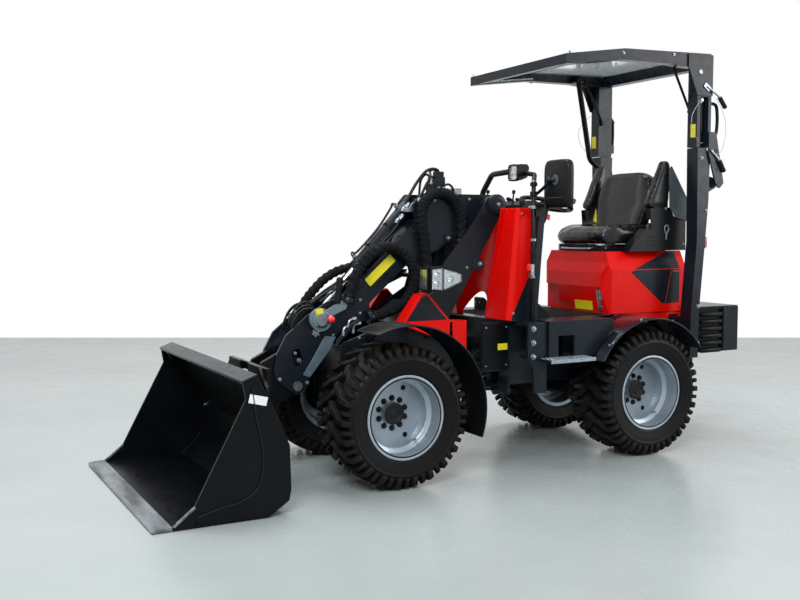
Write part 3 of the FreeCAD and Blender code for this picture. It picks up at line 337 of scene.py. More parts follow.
class Kit:
    """Shapes of one material that ride on one body, gathered into one piece."""
    side = 1                             # -1 while shapes are added mirrored
    started = []                         # kits that are not pieces yet

    def __init__(self, name, material, body, bevel=0.5, smooth=35.0):
        self.name, self.material, self.body = name, material, body
        self.bevel, self.smooth = bevel, smooth
        self.mesh = bmesh.new()
        Kit.started.append(self)

    def at(self, x, y, z):
        return P(x, self.side * y, z)

    def loft(self, rings, closed=False):
        """Skin through rings of points, capped unless the last ring meets the first."""
        layers = [[self.mesh.verts.new(point) for point in ring] for ring in rings]
        count = len(layers[0])
        pairs = list(zip(layers, layers[1:]))
        if closed:
            pairs.append((layers[-1], layers[0]))
        for low, high in pairs:
            for i in range(count):
                j = (i + 1) % count
                self.mesh.faces.new((low[i], low[j], high[j], high[i]))
        if not closed:
            self.mesh.faces.new(layers[0][::-1])
            self.mesh.faces.new(layers[-1])
        return self

    def layers(self, sections, axis, closed):
        """Skin through (outline, level) pairs; an outline has the other two axes in turn."""
        order = {"x": (2, 0, 1), "y": (0, 2, 1), "z": (0, 1, 2)}[axis]
        rings = []
        for outline, level in sections:
            spots = [(a, b, level) for a, b in outline]
            rings.append([self.at(*(spot[k] for k in order)) for spot in spots])
        return self.loft(rings, closed)

    def prism(self, outline, low, high, axis="y"):
        return self.layers([(outline, low), (outline, high)], axis, False)

    def block(self, x, y, z):
        return self.prism([(x[0], y[0]), (x[1], y[0]), (x[1], y[1]), (x[0], y[1])], z[0], z[1], "z")

    def turned(self, profile, centre, axis, count=32, start=0.0, hollow=False):
        """Turned shape from (distance along the axis, radius) pairs, in millimetres."""
        origin = self.at(*centre)
        along = Vector((axis[0], self.side * axis[1], axis[2])).normalized()
        side = along.orthogonal().normalized()
        up = along.cross(side)
        rings = []
        for distance, radius in profile:
            middle, reach = origin + along * distance / 1000, max(radius, 0.05) / 1000
            rings.append([middle + (side * math.cos(start + a) + up * math.sin(start + a)) * reach
                          for a in turns(count)])
        return self.loft(rings, hollow)

    def rod(self, a, b, radius, count=20):
        axis = Vector(b) - Vector(a)
        cut = min(0.8, radius / 5, axis.length / 5)
        end = axis.length
        profile = [(0, radius - cut), (cut, radius), (end - cut, radius), (end, radius - cut)]
        return self.turned(profile, a, axis, count)

    def bolt(self, centre, axis, size, turn=0.3):
        """Washer, hexagon nut and thread end, with its seat at the centre."""
        self.turned([(0, size * 1.1), (size * 0.16, size * 1.1)], centre, axis, 24)
        head = size * 0.86
        self.turned([(size * 0.16, head), (size * 0.8, head), (size * 0.95, head * 0.86)], centre, axis, 6,
                    turn)
        return self.turned([(size * 0.9, size * 0.42), (size * 1.25, size * 0.42),
                            (size * 1.35, size * 0.32)], centre, axis, 14)

    def bolts(self, places, axis, size):
        for place in places:
            self.bolt(place, axis, size)

    def sweep(self, line, radius, count=12):
        """Round section along points in metres; the radius is in millimetres or a function."""
        last = len(line) - 1
        tangents = [(line[min(i + 1, last)] - line[max(i - 1, 0)]).normalized() for i in range(last + 1)]
        side = tangents[0].orthogonal().normalized()
        rings = []
        for i, (point, tangent) in enumerate(zip(line, tangents)):
            side = (side - tangent * side.dot(tangent)).normalized()
            up = tangent.cross(side)
            ring = []
            for angle in turns(count):
                reach = radius(i / last, angle) if callable(radius) else radius
                ring.append(point + (side * math.cos(angle) + up * math.sin(angle)) * reach / 1000)
            rings.append(ring)
        return self.loft(rings)

    def pipe(self, route, radius, count=12):
        """Round section along a smooth line through points in millimetres."""
        return self.sweep(smooth_line([self.at(*p) for p in route]), radius, count)

    def arch(self, centre, reach, y, start, span, steps):
        """Bead along an arc about the (x, z) centre, from the start through the span in degrees."""
        line = []
        for i in range(steps + 1):
            angle = math.radians(start + span * i / steps)
            line.append(self.at(centre[0] + reach * math.cos(angle), y, centre[1] + reach * math.sin(angle)))
        return self.sweep(line, 4.5, 10)

    def plate(self, centre, across, up, width, height, thick, corner=3.0):
        """Plate with rounded corners, its back on the centre point, facing across x up."""
        across = Vector((self.side * across[0], across[1], self.side * across[2])).normalized()
        up = Vector(up).normalized()
        out = across.cross(up).normalized()
        ring = []
        for i, (u, v) in enumerate(((1, 1), (-1, 1), (-1, -1), (1, -1))):
            for k in range(4):
                angle = math.pi / 2 * (i + k / 3)
                ring.append((u * (width / 2 - corner) + corner * math.cos(angle),
                             v * (height / 2 - corner) + corner * math.sin(angle)))
        base = self.at(*centre)
        return self.loft([[base + (across * u + up * v + out * w) / 1000 for u, v in ring]
                          for w in (0, thick)])

    def done(self):
        Kit.started.remove(self)
        bmesh.ops.recalc_face_normals(self.mesh, faces=self.mesh.faces)
        mesh = bpy.data.meshes.new(self.name)
        self.mesh.to_mesh(mesh)
        self.mesh.free()
        mesh.materials.append(self.material)
        mesh.shade_smooth()
        mesh.set_sharp_from_angle(angle=math.radians(self.smooth))
        piece = bpy.data.objects.new(self.name, mesh)
        scene.collection.objects.link(piece)
        if self.bevel:
            add_bevel(piece, self.bevel / 1000)
        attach(piece, self.body)
        return piece


def mirrored():
    """Yields left, then right with every kit mirroring the shapes it is given."""
    for label, Kit.side in (("left", 1), ("right", -1)):
        yield label
    Kit.side = 1


def squared(angle, power):
    """Point at this angle on a rounded square of half width 1."""
    c, s = math.cos(angle), math.sin(angle)
    reach = (abs(c) ** power + abs(s) ** power) ** (-1 / power)
    return c * reach, s * reach


def dress_nodes():
    """Gives each solid its finish, and rounds the edges that catch the light."""
    for material, names in NODE_FINISH.items():
        for name in names:
            solid = nodes[name]
            solid.data.materials.clear()
            solid.data.materials.append(material)
            solid.modifiers.new("weld", "WELD").merge_threshold = 0.00002
            bevel = add_bevel(solid, SMALL_EDGE)
            bevel.use_clamp_overlap = True
            bevel.harden_normals = True


def smooth_line(points, steps=8):
    """Points along a Catmull-Rom line through the given ones."""
    line = []
    last = len(points) - 1
    for i in range(last):
        a, b, c, d = (points[min(max(i + k, 0), last)] for k in (-1, 0, 1, 2))
        for k in range(steps):
            t = k / steps
            line.append(0.5 * (2 * b + (c - a) * t + (2 * a - 5 * b + 4 * c - d) * t * t
                               + (3 * b - a - 3 * c + d) * t ** 3))
    return line + [points[-1]]


# ---------------------------------------------------------------- hose sleeves
UPPER_SLEEVE = [(-338, 122, 985), (-325, 122, 1100), (-298, 122, 1235), (-325, 122, 1335),
                (-415, 122, 1368), (-505, 122, 1330), (-540, 122, 1225), (-535, 122, 1130)]
LOWER_SLEEVE = [(95, 122, 850), (65, 122, 950), (-5, 122, 1050), (-110, 122, 1105),
                (-220, 122, 1060), (-275, 122, 950), (-240, 122, 840), (-140, 122, 775),
                (-30, 122, 755)]


SLEEVE_RADIUS, FOLD_HEIGHT = 25.4, 2.6


def centreline(name, route):
    """Points read from the smooth curve that a cord's route steers."""
    data = bpy.data.curves.new(name, "CURVE")
    data.dimensions = "3D"
    data.resolution_u = 24
    spline = data.splines.new("NURBS")
    spline.points.add(len(route) - 1)
    for point, place in zip(spline.points, route):
        point.co = (*P(*place), 1.0)
    spline.order_u = 3
    spline.use_endpoint_u = True
    curve = bpy.data.objects.new(name, data)
    scene.collection.objects.link(curve)
    mesh = bpy.data.meshes.new_from_object(curve)
    points = [vertex.co.copy() for vertex in mesh.vertices]
    bpy.data.objects.remove(curve)
    bpy.data.meshes.remove(mesh)
    return points


def make_sleeve(node, route):
    """Textile sleeve over a bundle of hoses, gathered into soft folds where it bends."""
    line = centreline(node + "_line", route)

    def radius(t, angle):
        fold = math.sin(t * 190 + 1.6 * math.sin(angle + t * 9) + 4 * noise((t * 14, angle, 0.3)))
        lump = noise((t * 22, math.cos(angle) * 1.3, math.sin(angle) * 1.3))
        return SLEEVE_RADIUS + FOLD_HEIGHT * (fold + lump)

    piece = Kit(node + "_textile", SLEEVE, ARM, 0, 60).sweep(line, radius, 28).done()
    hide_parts(node)
    P(*route[0])
    total = sum((b - a).length for a, b in zip(line, line[1:]))
    print(node, "line", round(total, 4), "points", len(line))


make_camera()
make_studio()
make_sleeve("upper_hose_sleeve", UPPER_SLEEVE)
make_sleeve("lower_hose_sleeve", LOWER_SLEEVE)
dress_nodes()


# ---------------------------------------------------------------- wheels
def tyre_profile():
    """Section of the carcass from one bead to the other, as (across, radius)."""
    side = [(130.5, 182), (131, 196), (136, 205), (138, 205), (139, 211), (144, 230), (148, 250),
            (149, 262), (150.5, 264), (149, 268), (146, 279), (138, 290), (118, 299), (60, 303), (0, 304)]
    return side + [(-across, radius) for across, radius in reversed(side[:-1])]


LONG_LUG = [(143, 266, 137, 268, -4), (150, 276, 141, 276, -3), (151, 296, 139, 288, -1),
            (147, 312, 132, 294, 0), (136, 323, 126, 297, 2), (112, 327, 112, 297, 5),
            (88, 329, 88, 299, 12), (68, 330, 68, 300, 32), (50, 330, 50, 300, 41),
            (28, 330, 28, 301, 46), (11, 330, 11, 301, 62), (-4, 329, -4, 301, 82)]
SHORT_LUG = [(144, 270, 138, 270, 44), (150, 282, 141, 278, 45), (149, 300, 138, 289, 46),
             (143, 314, 130, 295, 47), (130, 323, 124, 298, 48), (116, 325, 116, 298, 50)]
LUG_PITCHES = 22
AXLE_HEIGHT = 330                        # also the radius over the lugs


def make_tyre(wheel):
    rim_low, rim_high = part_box(wheel + "_rim")
    tyre_low, tyre_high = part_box(wheel + "_tyre")
    centre = (tyre_low + tyre_high) / 2
    centre.z = (rim_low.z + rim_high.z) / 2
    profile = tyre_profile()

    def spot(across, radius, along):
        angle = along / AXLE_HEIGHT
        return centre + Vector((radius * math.cos(angle), across, radius * math.sin(angle))) / 1000

    carcass = Kit(wheel + "_carcass", RUBBER, wheel + "_wheel", 0, 40)
    turn = 2 * math.pi * AXLE_HEIGHT
    rings = [[spot(across, radius, turn * i / 96) for across, radius in profile] for i in range(96)]
    carcass.loft(rings, closed=True)
    body = carcass.done()

    tread = Kit(wheel + "_tread", TREAD, wheel + "_wheel", 2.2, 40)
    for side in (1, -1):
        for i in range(LUG_PITCHES):
            start = turn * (i + (0.5 if side < 0 else 0.0)) / LUG_PITCHES
            for lug, top_half, foot_half in ((LONG_LUG, 12.5, 17), (SHORT_LUG, 9, 12)):
                rings = []
                for k, (top, top_radius, foot, foot_radius, along) in enumerate(lug):
                    before, after = lug[max(k - 1, 0)], lug[min(k + 1, len(lug) - 1)]
                    run, rise = after[0] - before[0], after[4] - before[4]
                    size = math.hypot(run, rise)
                    across, forward = (0.0, 1.0) if k < 4 else (rise / size, -run / size)
                    corners = ((foot, foot_radius - 3, -foot_half), (top, top_radius, -top_half),
                               (top, top_radius, top_half), (foot, foot_radius - 3, foot_half))
                    rings.append([spot(side * (place + half * across), radius, start + along + half * forward)
                                  for place, radius, half in corners])
                tread.loft(rings)
    piece = tread.done()
    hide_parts(wheel + "_tyre")
    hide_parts(wheel + "_tyre")


def make_rim_details(wheel, x):
    """Nuts, hub cap, black discs painted as the shade seen in the hand holes, valve and flange ring on the
    outer face of the disc.
    """
    disc, face, axle = 384, 526, AXLE_HEIGHT
    nuts = Kit(wheel + "_nuts", CAST, wheel + "_wheel", 0.7)
    for i, angle in enumerate(turns(10)):
        nuts.bolt((x + 70 * math.sin(angle), disc, axle + 70 * math.cos(angle)), OUT, 13, turn=i)
    nuts.turned([(14, 51.5), (26, 51.5), (29, 47), (30, 38), (27, 34), (27, 20), (31, 17), (32, 2)],
                (x, disc, axle), OUT, 48)
    # the hand holes are flat black discs: painted shade standing for the dark openings, not real holes
    holes = Kit(wheel + "_hand_hole_painted_shade", BLACK, wheel + "_wheel", 0.3)
    for angle in (2.05, 4.14, 6.24):
        hx, hz = x + 128 * math.cos(angle), axle + 128 * math.sin(angle)
        holes.turned([(0, 12.5), (0.8, 12.5)], (hx, disc, hz), OUT, 28)
    valve = Kit(wheel + "_valve", ZINC, wheel + "_wheel", 0.3)
    vx, vz = x - 150 * math.sin(0.6), axle - 150 * math.cos(0.6)
    valve.rod((vx, disc + 52, vz), (vx + 6, disc + 92, vz + 9), 4.2)
    valve.rod((vx + 6, disc + 92, vz + 9), (vx + 8, disc + 104, vz + 12), 5.5)
    ring = Kit(wheel + "_flange_ring", SILVER, wheel + "_wheel", 0, 30)
    section = [(0, 176), (0, 183), (1.2, 186), (1.2, 191), (0.2, 193.5), (-5, 193.5), (-5, 176)]
    ring.loft([[ring.at(x + r * math.cos(angle), face + a, axle + r * math.sin(angle)) for a, r in section]
               for angle in turns(96)], closed=True)


rear_low, rear_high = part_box("rear_left_rim")
rear_axle = ((rear_low.x + rear_high.x) / 2 - front_axle) * 1000
for end, x in (("front", 0.0), ("rear", rear_axle)):
    for label in mirrored():
        make_tyre(end + "_" + label)
        make_rim_details(end + "_" + label, x)


# ---------------------------------------------------------------- boom and its head
TILT_FOOT, TILT_EYE = (-310.0, 1320.0), (372.0, 588.0)


def along_ram(foot, eye, run, off, y):
    """Point beside a cylinder: run along it, off above it and y across."""
    length = math.hypot(eye[0] - foot[0], eye[1] - foot[1])
    ax, az = (eye[0] - foot[0]) / length, (eye[1] - foot[1]) / length
    return (foot[0] + ax * run - az * off, y, foot[1] + az * run + ax * off)


def make_boom_details():
    labels = Kit("boom_labels", YELLOW, ARM, 0)
    edge = Kit("boom_edge_strips", DARK, ARM, 0.8)
    pins = Kit("boom_pin_bolts", ZINC, ARM, 0.4)
    for _ in mirrored():
        labels.plate((-96, 80, 978), (-0.75, 0, 0.66), (0.66, 0, 0.75), 186, 46, 0.6, 4)
        edge.prism([(-140, 982), (132, 742), (137, 722), (-146, 970)], 80, 86)
        edge.prism([(-330, 1222), (-262, 1162), (-268, 1150), (-336, 1210)], 94, 100)
        pins.bolt((-472, 102, 1133), OUT, 9)
        pins.turned([(0, 15), (5, 15), (7, 12)], (-310, 94, 1320), OUT, 24)
        pins.bolts(((-395, 94, 1322), (-600, 94, 1330), (-350, 94, 1015), (-535, 94, 1168)), OUT, 7)

    far = Kit("far_hose_sleeve", SLEEVE, ARM, 0, 60)
    route = [(262, -112, 742), (228, -122, 808), (176, -124, 872), (110, -124, 932), (30, -124, 972),
             (-60, -124, 984), (-150, -124, 946), (-196, -124, 872)]
    line = smooth_line([P(*p) for p in route], steps=14)
    far.sweep(line, lambda t, angle: 23 + 2.2 * math.sin(t * 120 + 2 * math.sin(angle)), 24)

    bands = Kit("sleeve_bands", PLASTIC, ARM, 0.4)
    for place, axis in (((-338, 122, 985), (2, 0, 20)), ((-535, 122, 1130), (-0.6, 0, 20)),
                        ((95, 122, 850), (-5, 0, 18)), ((-30, 122, 755), (-19, 0, 3.5))):
        bands.turned([(9, 27.6), (10, 28.6), (15, 28.6), (16, 27.6)], place, axis, 36)

    stack = Kit("boom_valve_stack", CAST, ARM, 1.2)
    for box in (((-466, -412), (30, 78), (1350, 1440)), ((-462, -418), (36, 72), (1440, 1468)),
                ((-404, -376), (36, 74), (1350, 1404)), ((-440, -410), (-22, 16), (1350, 1398))):
        stack.block(*box)
    stack.turned([(0, 15), (30, 15), (34, 11)], (-425, -3, 1398), UP, 24)
    unions = Kit("boom_unions", ZINC, ARM, 0.4)
    for x, y, z in ((-390, 46, 1404), (-390, 64, 1404), (-425, -3, 1430), (-426, 84, 1360), (-452, 84, 1360)):
        for low, high, radius, count in ((0, 9, 10.5, 6), (9, 20, 7.5, 20), (20, 30, 9, 6)):
            unions.turned([(low, radius), (high, radius)], (x, y, z), UP, count)
    for x, z, size in ((-246, 1286, 12), (-284, 1290, 13), (-316, 1312, 11), (-212, 1228, 12)):
        unions.turned([(0, size), (22, size)], (x, 62, z), (-0.68, 0, 0.73), 6)
        unions.turned([(22, size * 0.75), (30, size * 0.75)], (x, 62, z), (-0.68, 0, 0.73), 20)
        unions.pipe([(x + 6, 62, z), (x + 16, 64, z - 8), (x + 22, 67, z - 20)], size * 0.6)
    unions.block((-330, -232), (46, 79), (1264, 1284))

    hoses = Kit("boom_hoses", HOSE, ARM, 0)
    hoses.pipe([(-440, 54, 1452), (-434, 56, 1474), (-400, 60, 1480), (-362, 62, 1466), (-322, 62, 1424),
                (-290, 62, 1380), (-262, 60, 1330), (-252, 56, 1300)], 8)
    hoses.pipe([(-412, 60, 1440), (-394, 64, 1438), (-366, 66, 1406), (-344, 66, 1366), (-330, 60, 1330)], 7)
    hoses.pipe([(-212, 66, 1226), (-196, 70, 1200), (-150, 74, 1150), (-40, 72, 1046), (60, 68, 955),
                (150, 62, 880), (215, 56, 832)], 6)
    hoses.pipe([(-425, -3, 1456), (-426, -3, 1474), (-450, -6, 1480), (-476, -10, 1452), (-474, -12, 1400),
                (-470, -14, 1345)], 6)
    hoses.pipe([(-390, 46, 1430), (-390, 44, 1446), (-372, 38, 1452), (-352, 30, 1424), (-346, 26, 1372),
                (-346, 24, 1330)], 6)
    hoses.pipe([(-452, 84, 1386), (-460, 88, 1400), (-484, 90, 1402), (-506, 88, 1380), (-514, 84, 1340)], 6)
    for y, lift in ((-30, 0), (-52, 6)):
        hoses.pipe([(-290, y, 1236 + lift), (-190, y, 1136 + lift), (-60, y, 1024 + lift),
                    (60, y, 922 + lift), (150, y, 866 + lift), (240, y * 0.8, 812)], 7)


def make_tilt_cylinder_details():
    def place(run, off, y):
        return along_ram(TILT_FOOT, TILT_EYE, run, off, y)
    ports = Kit("tilt_cylinder_ports", ZINC, "tilt_barrel", 0.4)
    for run in (76, 418):
        ports.rod(place(run, 30, 0), place(run, 48, 0), 12)
        ports.rod(place(run, 48, 0), place(run, 62, 0), 9, 6)
    line = Kit("tilt_cylinder_hose", HOSE, "tilt_barrel", 0)
    line.pipe([place(76, 60, 0), place(86, 66, 0), place(110, 60, 6), place(240, 46, 10),
               place(390, 50, 6), place(410, 64, 0), place(418, 60, 0)], 6)
    bands = Kit("tilt_cylinder_bands", BLACK, "tilt_barrel", 0.5)
    for run in (180, 320):
        a, b = place(run, 0, 0), place(run + 14, 0, 0)
        bands.turned([(0, 35.5), (14, 35.5), (14, 33), (0, 33)], a, Vector(b) - Vector(a), 40, hollow=True)
    lift = Kit("lift_cylinder_ports", ZINC, "lift_barrel", 0.4)
    foot, eye = (-362.0, 575.0), (-472.0, 1133.0)
    for run in (66, 478):
        lift.rod(along_ram(foot, eye, run, -34, 0), along_ram(foot, eye, run, -52, 0), 11)
    lift.pipe([along_ram(foot, eye, 66, -50, 0), along_ram(foot, eye, 74, -58, 0),
               along_ram(foot, eye, 100, -52, 0), along_ram(foot, eye, 440, -52, 0),
               along_ram(foot, eye, 470, -58, 0), along_ram(foot, eye, 478, -50, 0)], 5)


def make_head_details():
    # the light bluish strips on the head plates are a painted highlight: the sheen along the front plate
    # edges, not real parts
    strips = Kit("head_painted_sheen_strips", SATIN_AND_SHEEN, ARM, 1.0)
    bolts = Kit("head_bolts", ZINC, ARM, 0.4)
    for _ in mirrored():
        strips.prism([(152, 664), (209, 670), (261, 584), (322, 492), (288, 478), (186, 600)], 94, 99)
        bolts.bolts(((438, 94, 478), (300, 94, 452)), OUT, 9)
        bolts.bolts(((165, 94, 672), (290, 94, 498)), OUT, 6)
        bolts.bolts(((20, 94, 836), (20, 94, 772)), OUT, 7)
        star = [(260 + reach * math.cos(angle), 690 + reach * math.sin(angle))
                for angle, reach in zip(turns(24), (14, 14, 21, 21) * 6)]
        bolts.prism(star, 99, 111)
        bolts.turned([(17, 9), (24, 9), (26, 7)], (260, 94, 690), OUT, 24)
        bolts.rod((338, 76, 560), (338, 92, 560), 11)
        bolts.rod((358, 76, 596), (358, 92, 596), 8)

    coupler = Kit("coupler_face", SATIN_AND_SHEEN, ARM, 0.6)
    coupler.turned([(0, 44), (4, 44), (5, 42), (5, 30), (9, 28), (9, 16)], (247, 146, 754), OUT, 48)
    for x, z in ((1, 1), (-1, 1), (-1, -1), (1, -1)):
        coupler.bolt((247 + 26.163 * x, 151, 754 + 26.163 * z), OUT, 5)
    coupler.rod((206, 120, 756), (206, 150, 756), 7)
    coupler.prism([(206, 800), (222, 776), (176, 772), (112, 800), (98, 846), (140, 836)], 118, 132)
    seal = Kit("coupler_seal", PLASTIC, ARM, 0)
    arc = [2.6 + i / 2 for i in range(7)]
    seal.pipe([(247 + 35 * math.cos(angle), 152, 754 + 35 * math.sin(angle)) for angle in arc], 3.5)
    elbows = Kit("coupler_elbows", ZINC, ARM, 0.5)
    for x, y, z in ((78, 112, 740), (104, 110, 706), (52, 108, 716)):
        elbows.rod((x - 26, y, z + 10), (x - 6, y, z + 6), 11, 6)
        elbows.pipe([(x - 8, y, z + 6), (x + 4, y, z + 2), (x + 12, y, z - 8), (x + 14, y, z - 22)], 8)
        elbows.rod((x + 14, y, z - 20), (x + 15, y, z - 38), 10.5, 6)
    knob = Kit("coupler_knob", SIGNAL_RED, ARM, 0)
    knob.turned([(0, 6), (2, 12), (8, 18.5), (16, 20), (23, 18), (28, 13), (31, 6), (31.5, 1)],
                (206, 148, 756), OUT, 32)
    grip = Kit("coupler_grip", GRIP, ARM, 0)
    grip.turned([(0, 10), (3, 15), (20, 16.5), (70, 15), (105, 17), (120, 16), (126, 9)],
                (158, 128, 826), (-16, 0, 124), 24)
    Kit("coupler_tag", YELLOW, ARM, 0).plate((260, 151, 790), (-1, 0, 0.1), (0.1, 0, 1), 38, 34, 1.2, 3)

    hoses = Kit("head_hoses", HOSE, ARM, 0)
    for y, spread in ((104, 0), (122, 10), (140, 20)):
        hoses.pipe([(50, y, 738), (78, y, 726), (104, y - 6 - spread / 2, 700 - spread),
                    (128, 106, 668 - spread), (150, 100, 640 - spread)], 7)
    for y, high, low in ((46, 800, 0), (34, 816, 8), (-34, 806, -4), (-46, 794, 6), (60, 788, 4)):
        hoses.pipe([(236, y, 790), (268, y, high + 14), (314, y, high + 4), (352, y, high - 40),
                    (356 + low, y, high - 84), (322 + low, y, 694), (262, y, 650), (228, y, 600)], 5)


def make_hitch_details():
    zinc = Kit("hitch_hardware", ZINC, BUCKET, 0.5)
    for _ in mirrored():
        zinc.rod((560, 150, 170), (560, 292, 170), 14)
        zinc.rod((540, 215, 170), (540, 215, 214), 5)
        zinc.bolts(((566, 250, 420), (566, 150, 420)), (-1, 0, 0), 9)
    zinc.rod((552, -180, 500), (552, 180, 500), 8)
    brackets = Kit("hitch_brackets", BLACK, BUCKET, 1.0)
    for _ in mirrored():
        for y in (150, 280):
            brackets.prism([(566, 130), (536, 140), (532, 190), (566, 235)], y, y + 12)
        for y in (175, 240):
            brackets.prism([(566, 440), (538, 470), (540, 515), (566, 535)], y, y + 10)


# ---------------------------------------------------------------- bucket
def make_bucket_details():
    plates = Kit("bucket_side_plates", BLACK, BUCKET, 1.4)
    seams = Kit("bucket_seams", CAST, BUCKET, 0, 60)
    for _ in mirrored():
        rim = [(768, 545), (752, 420), (728, 300), (726, 205), (752, 130), (820, 86), (905, 70), (1000, 46)]
        border = smooth_line([Vector((x, 0, z)) for x, z in rim], steps=4)
        outline = [(p.x, p.z) for p in border]
        outline += [(1005, 10), (702, 8), (613, 62), (603, 111), (608, 292), (651, 400), (742, 582)]
        plates.prism(outline, 640, 645)
        seams.pipe([(p.x, 645, p.z) for p in border[::4]], 2.6, 8)

    Kit("bucket_lip", DARK, BUCKET, 1.5).prism([(742, 586), (746, 597), (812, 572), (807, 560)], -640, 640)
    wear = Kit("bucket_wear_strips", STEEL, BUCKET, 0.8)
    for _ in mirrored():
        wear.prism([(1098, 20), (1010, 88), (1004, 82), (1092, 14)], 629, 641.5)
    label = Kit("bucket_label", WHITE, BUCKET, 0)
    label.plate((744, 645, 492), (-0.97, 0, -0.24), (-0.24, 0, 0.97), 78, 36, 0.6, 2)
    Kit("bucket_hardware", ZINC, BUCKET, 0.4).bolts(((613, -500, 281), (613, 500, 281)), (1, 0, 0), 9)
    brace = Kit("bucket_inner_brace", BLACK, BUCKET, 1.0)
    for _ in mirrored():
        brace.prism([(730, 540), (742, 568), (790, 552), (760, 500)], 560, 629)
        brace.prism([(612, 130), (640, 90), (720, 20), (612, 60)], 592, 598)


# ---------------------------------------------------------------- front frame
def make_front_details():
    bolts = Kit("tower_bolts", ZINC, FRONT, 0.4)
    lugs = Kit("tower_lugs", DARK, FRONT, 1.2)
    film = Kit("cover_decals", DECAL, FRONT, 0)
    lines = Kit("cover_lines", RED, FRONT, 0.5)
    for _ in mirrored():
        lug = [(-590, 1045), (-628, 1020), (-640, 996), (-628, 974), (-600, 968), (-560, 985)]
        lugs.prism(lug, 160, 178)
        bolts.bolt((-614, 178, 1003), OUT, 11)
        spots = ((-540, 985), (-205, 700), (60, 660), (60, 350), (-330, 360), (120, 560), (-430, 905))
        bolts.bolts([(x, 170, z) for x, z in spots], OUT, 7)
        lugs.turned([(0, 46), (4, 46), (6, 43), (6, 34)], (-712, 184, 1303), OUT, 48)
        bolts.bolt((-712, 192, 1303), OUT, 9)
        lugs.prism([(-420, 620), (-300, 640), (-300, 650), (-420, 632)], 170, 186)
        film.prism([(-150, 736), (-234, 852), (-262, 858), (-376, 736)], 250, 250.7)
        lines.prism([(-124, 714), (-150, 711), (-386, 625), (-388, 636), (-150, 722), (-132, 724)], 250, 252)
        for x, z in ((-175, 726), (-380, 700), (-430, 705), (-430, 610), (-470, 600)):
            lines.turned([(0, 6), (2.5, 6), (3.5, 4)], (x, 250, z), OUT, 20)

    for label in mirrored():
        face = 345
        shine = Kit("headlight_reflector_" + label, REFLECTOR, FRONT, 0.4)
        shine.prism([(-233, 985), (-233, 899), (-292, 891), (-292, 990)], face, face + 2)
        shine.prism([(-300, 988), (-300, 891), (-394, 930), (-394, 960)], face, face + 2)
        shine.block((-226, -223), (272, 336), (900, 985))
        bulb = Kit("headlight_bulbs_" + label, CHROME, FRONT, 0)
        for x, z, reach in ((-262, 962, 15), (-262, 920, 15), (-335, 940, 19)):
            bulb.turned([(2, reach), (5, reach * 0.7), (3.4, reach * 0.4), (6, reach * 0.2)], (x, face, z),
                        OUT, 24)
        clear = Kit("headlight_lens_" + label, LENS, FRONT, 1.6)
        clear.prism([(-231, 988), (-231, 896), (-294, 888), (-294, 993)], face + 8, face + 12)
        clear.prism([(-298, 992), (-298, 888), (-397, 928), (-397, 962)], face + 8, face + 12)
        clear.block((-217, -213), (268, 340), (896, 989))
        bezel = Kit("headlight_bezel_" + label, PLASTIC, FRONT, 1.6)
        for axis, back, border, inset in (
                ("y", face, [(-222, 1000), (-222, 885), (-300, 876), (-409, 922), (-409, 968), (-300, 1004)],
                 [(-231, 990), (-231, 895), (-299, 887), (-398, 928), (-398, 962), (-299, 994)]),
                ("x", -225, [(262, 1000), (262, 886), (345, 886), (345, 1000)],
                 [(270, 990), (270, 895), (338, 895), (338, 990)])):
            bezel.layers([(border, back), (border, back + 14), (inset, back + 14), (inset, back)], axis, True)
        bezel.block((-296, -292), (face, face + 12), (886, 994))
        mount = Kit("headlight_mount_" + label, ZINC, FRONT, 0.4)
        mount.bolts(((-400, 220, 945), (-418, 190, 945)), UP, 7)
        bead = Kit("front_fender_bead_" + label, PLASTIC, FRONT, 0, 60)
        for y in (552, 335):
            bead.arch((-10, 345), 402.5, y, 66.5, 133, 26)
        hose = Kit("front_motor_hoses_" + label, HOSE, FRONT, 0)
        for k, x in enumerate((-36, 8)):
            hose.pipe([(x - 50, 172, 540 - 20 * k), (x - 48, 205, 545 - 20 * k), (x - 30, 240, 520),
                       (x - 10, 262, 470), (x, 272, 425), (x, 276, 400)], 9)

    chassis = Kit("front_chassis_hoses", HOSE, FRONT, 0)
    for y in (-110, -80, 80, 110):
        chassis.pipe([(-300, y, 560), (-260, y, 640), (-200, y * 1.1, 700), (-140, y, 690), (-60, y, 600),
                      (20, y, 520)], 9)


# ---------------------------------------------------------------- rear frame
def make_chassis_details():
    bolts = Kit("chassis_bolts", ZINC, REAR, 0.4)
    labels = Kit("chassis_labels", YELLOW, REAR, 0)
    dark = Kit("chassis_dark_plate", BLACK, REAR, 1.2)
    for _ in mirrored():
        bolts.bolts([(-748, 454, z) for z in (690, 621, 552)], OUT, 13)
        bolts.bolts([(x, 300, z) for x, z in ((-570, 500), (-570, 690), (-690, 500), (-690, 690))], OUT, 6)
        labels.plate((-668, 304, 592), (-1, 0, 0), UP, 58, 32, 0.6, 3)
        dark.prism([(-550, 712), (-702, 712), (-702, 478), (-550, 478)], 300, 304)
        dark.prism([(-592, 612), (-632, 612), (-632, 572), (-592, 572)], 304, 304.6)
    pivot = Kit("pivot_hoses", HOSE, REAR, 0)
    for y, back in ((-120, 10), (-95, 0), (95, 0), (120, 10), (228, 56), (250, 62)):
        pivot.pipe([(-730, y, 560), (-690 - back * 0.4, y, 560), (-632 - back, y, 548),
                    (-596 - back, y * 0.96, 520), (-606 - back, y * 0.92, 486),
                    (-660 - back * 0.8, y * 0.9, 470), (-730, y * 0.9, 470)], 8)
    rod_seal = Kit("steering_cylinder_band", ZINC, "steering_barrel", 0.4)
    foot, eye = Vector((-930, 140, 425)), Vector((-560, 150, 425))
    axis = (eye - foot).normalized()
    for run in (60, 190):
        rod_seal.turned([(0, 28.5), (12, 28.5), (12, 26), (0, 26)], tuple(foot + axis * run), axis, 36,
                        hollow=True)
        port = foot + axis * (run + 6)
        rod_seal.rod(tuple(port + Vector((0, 0, 27))), tuple(port + Vector((0, 0, 42))), 9)


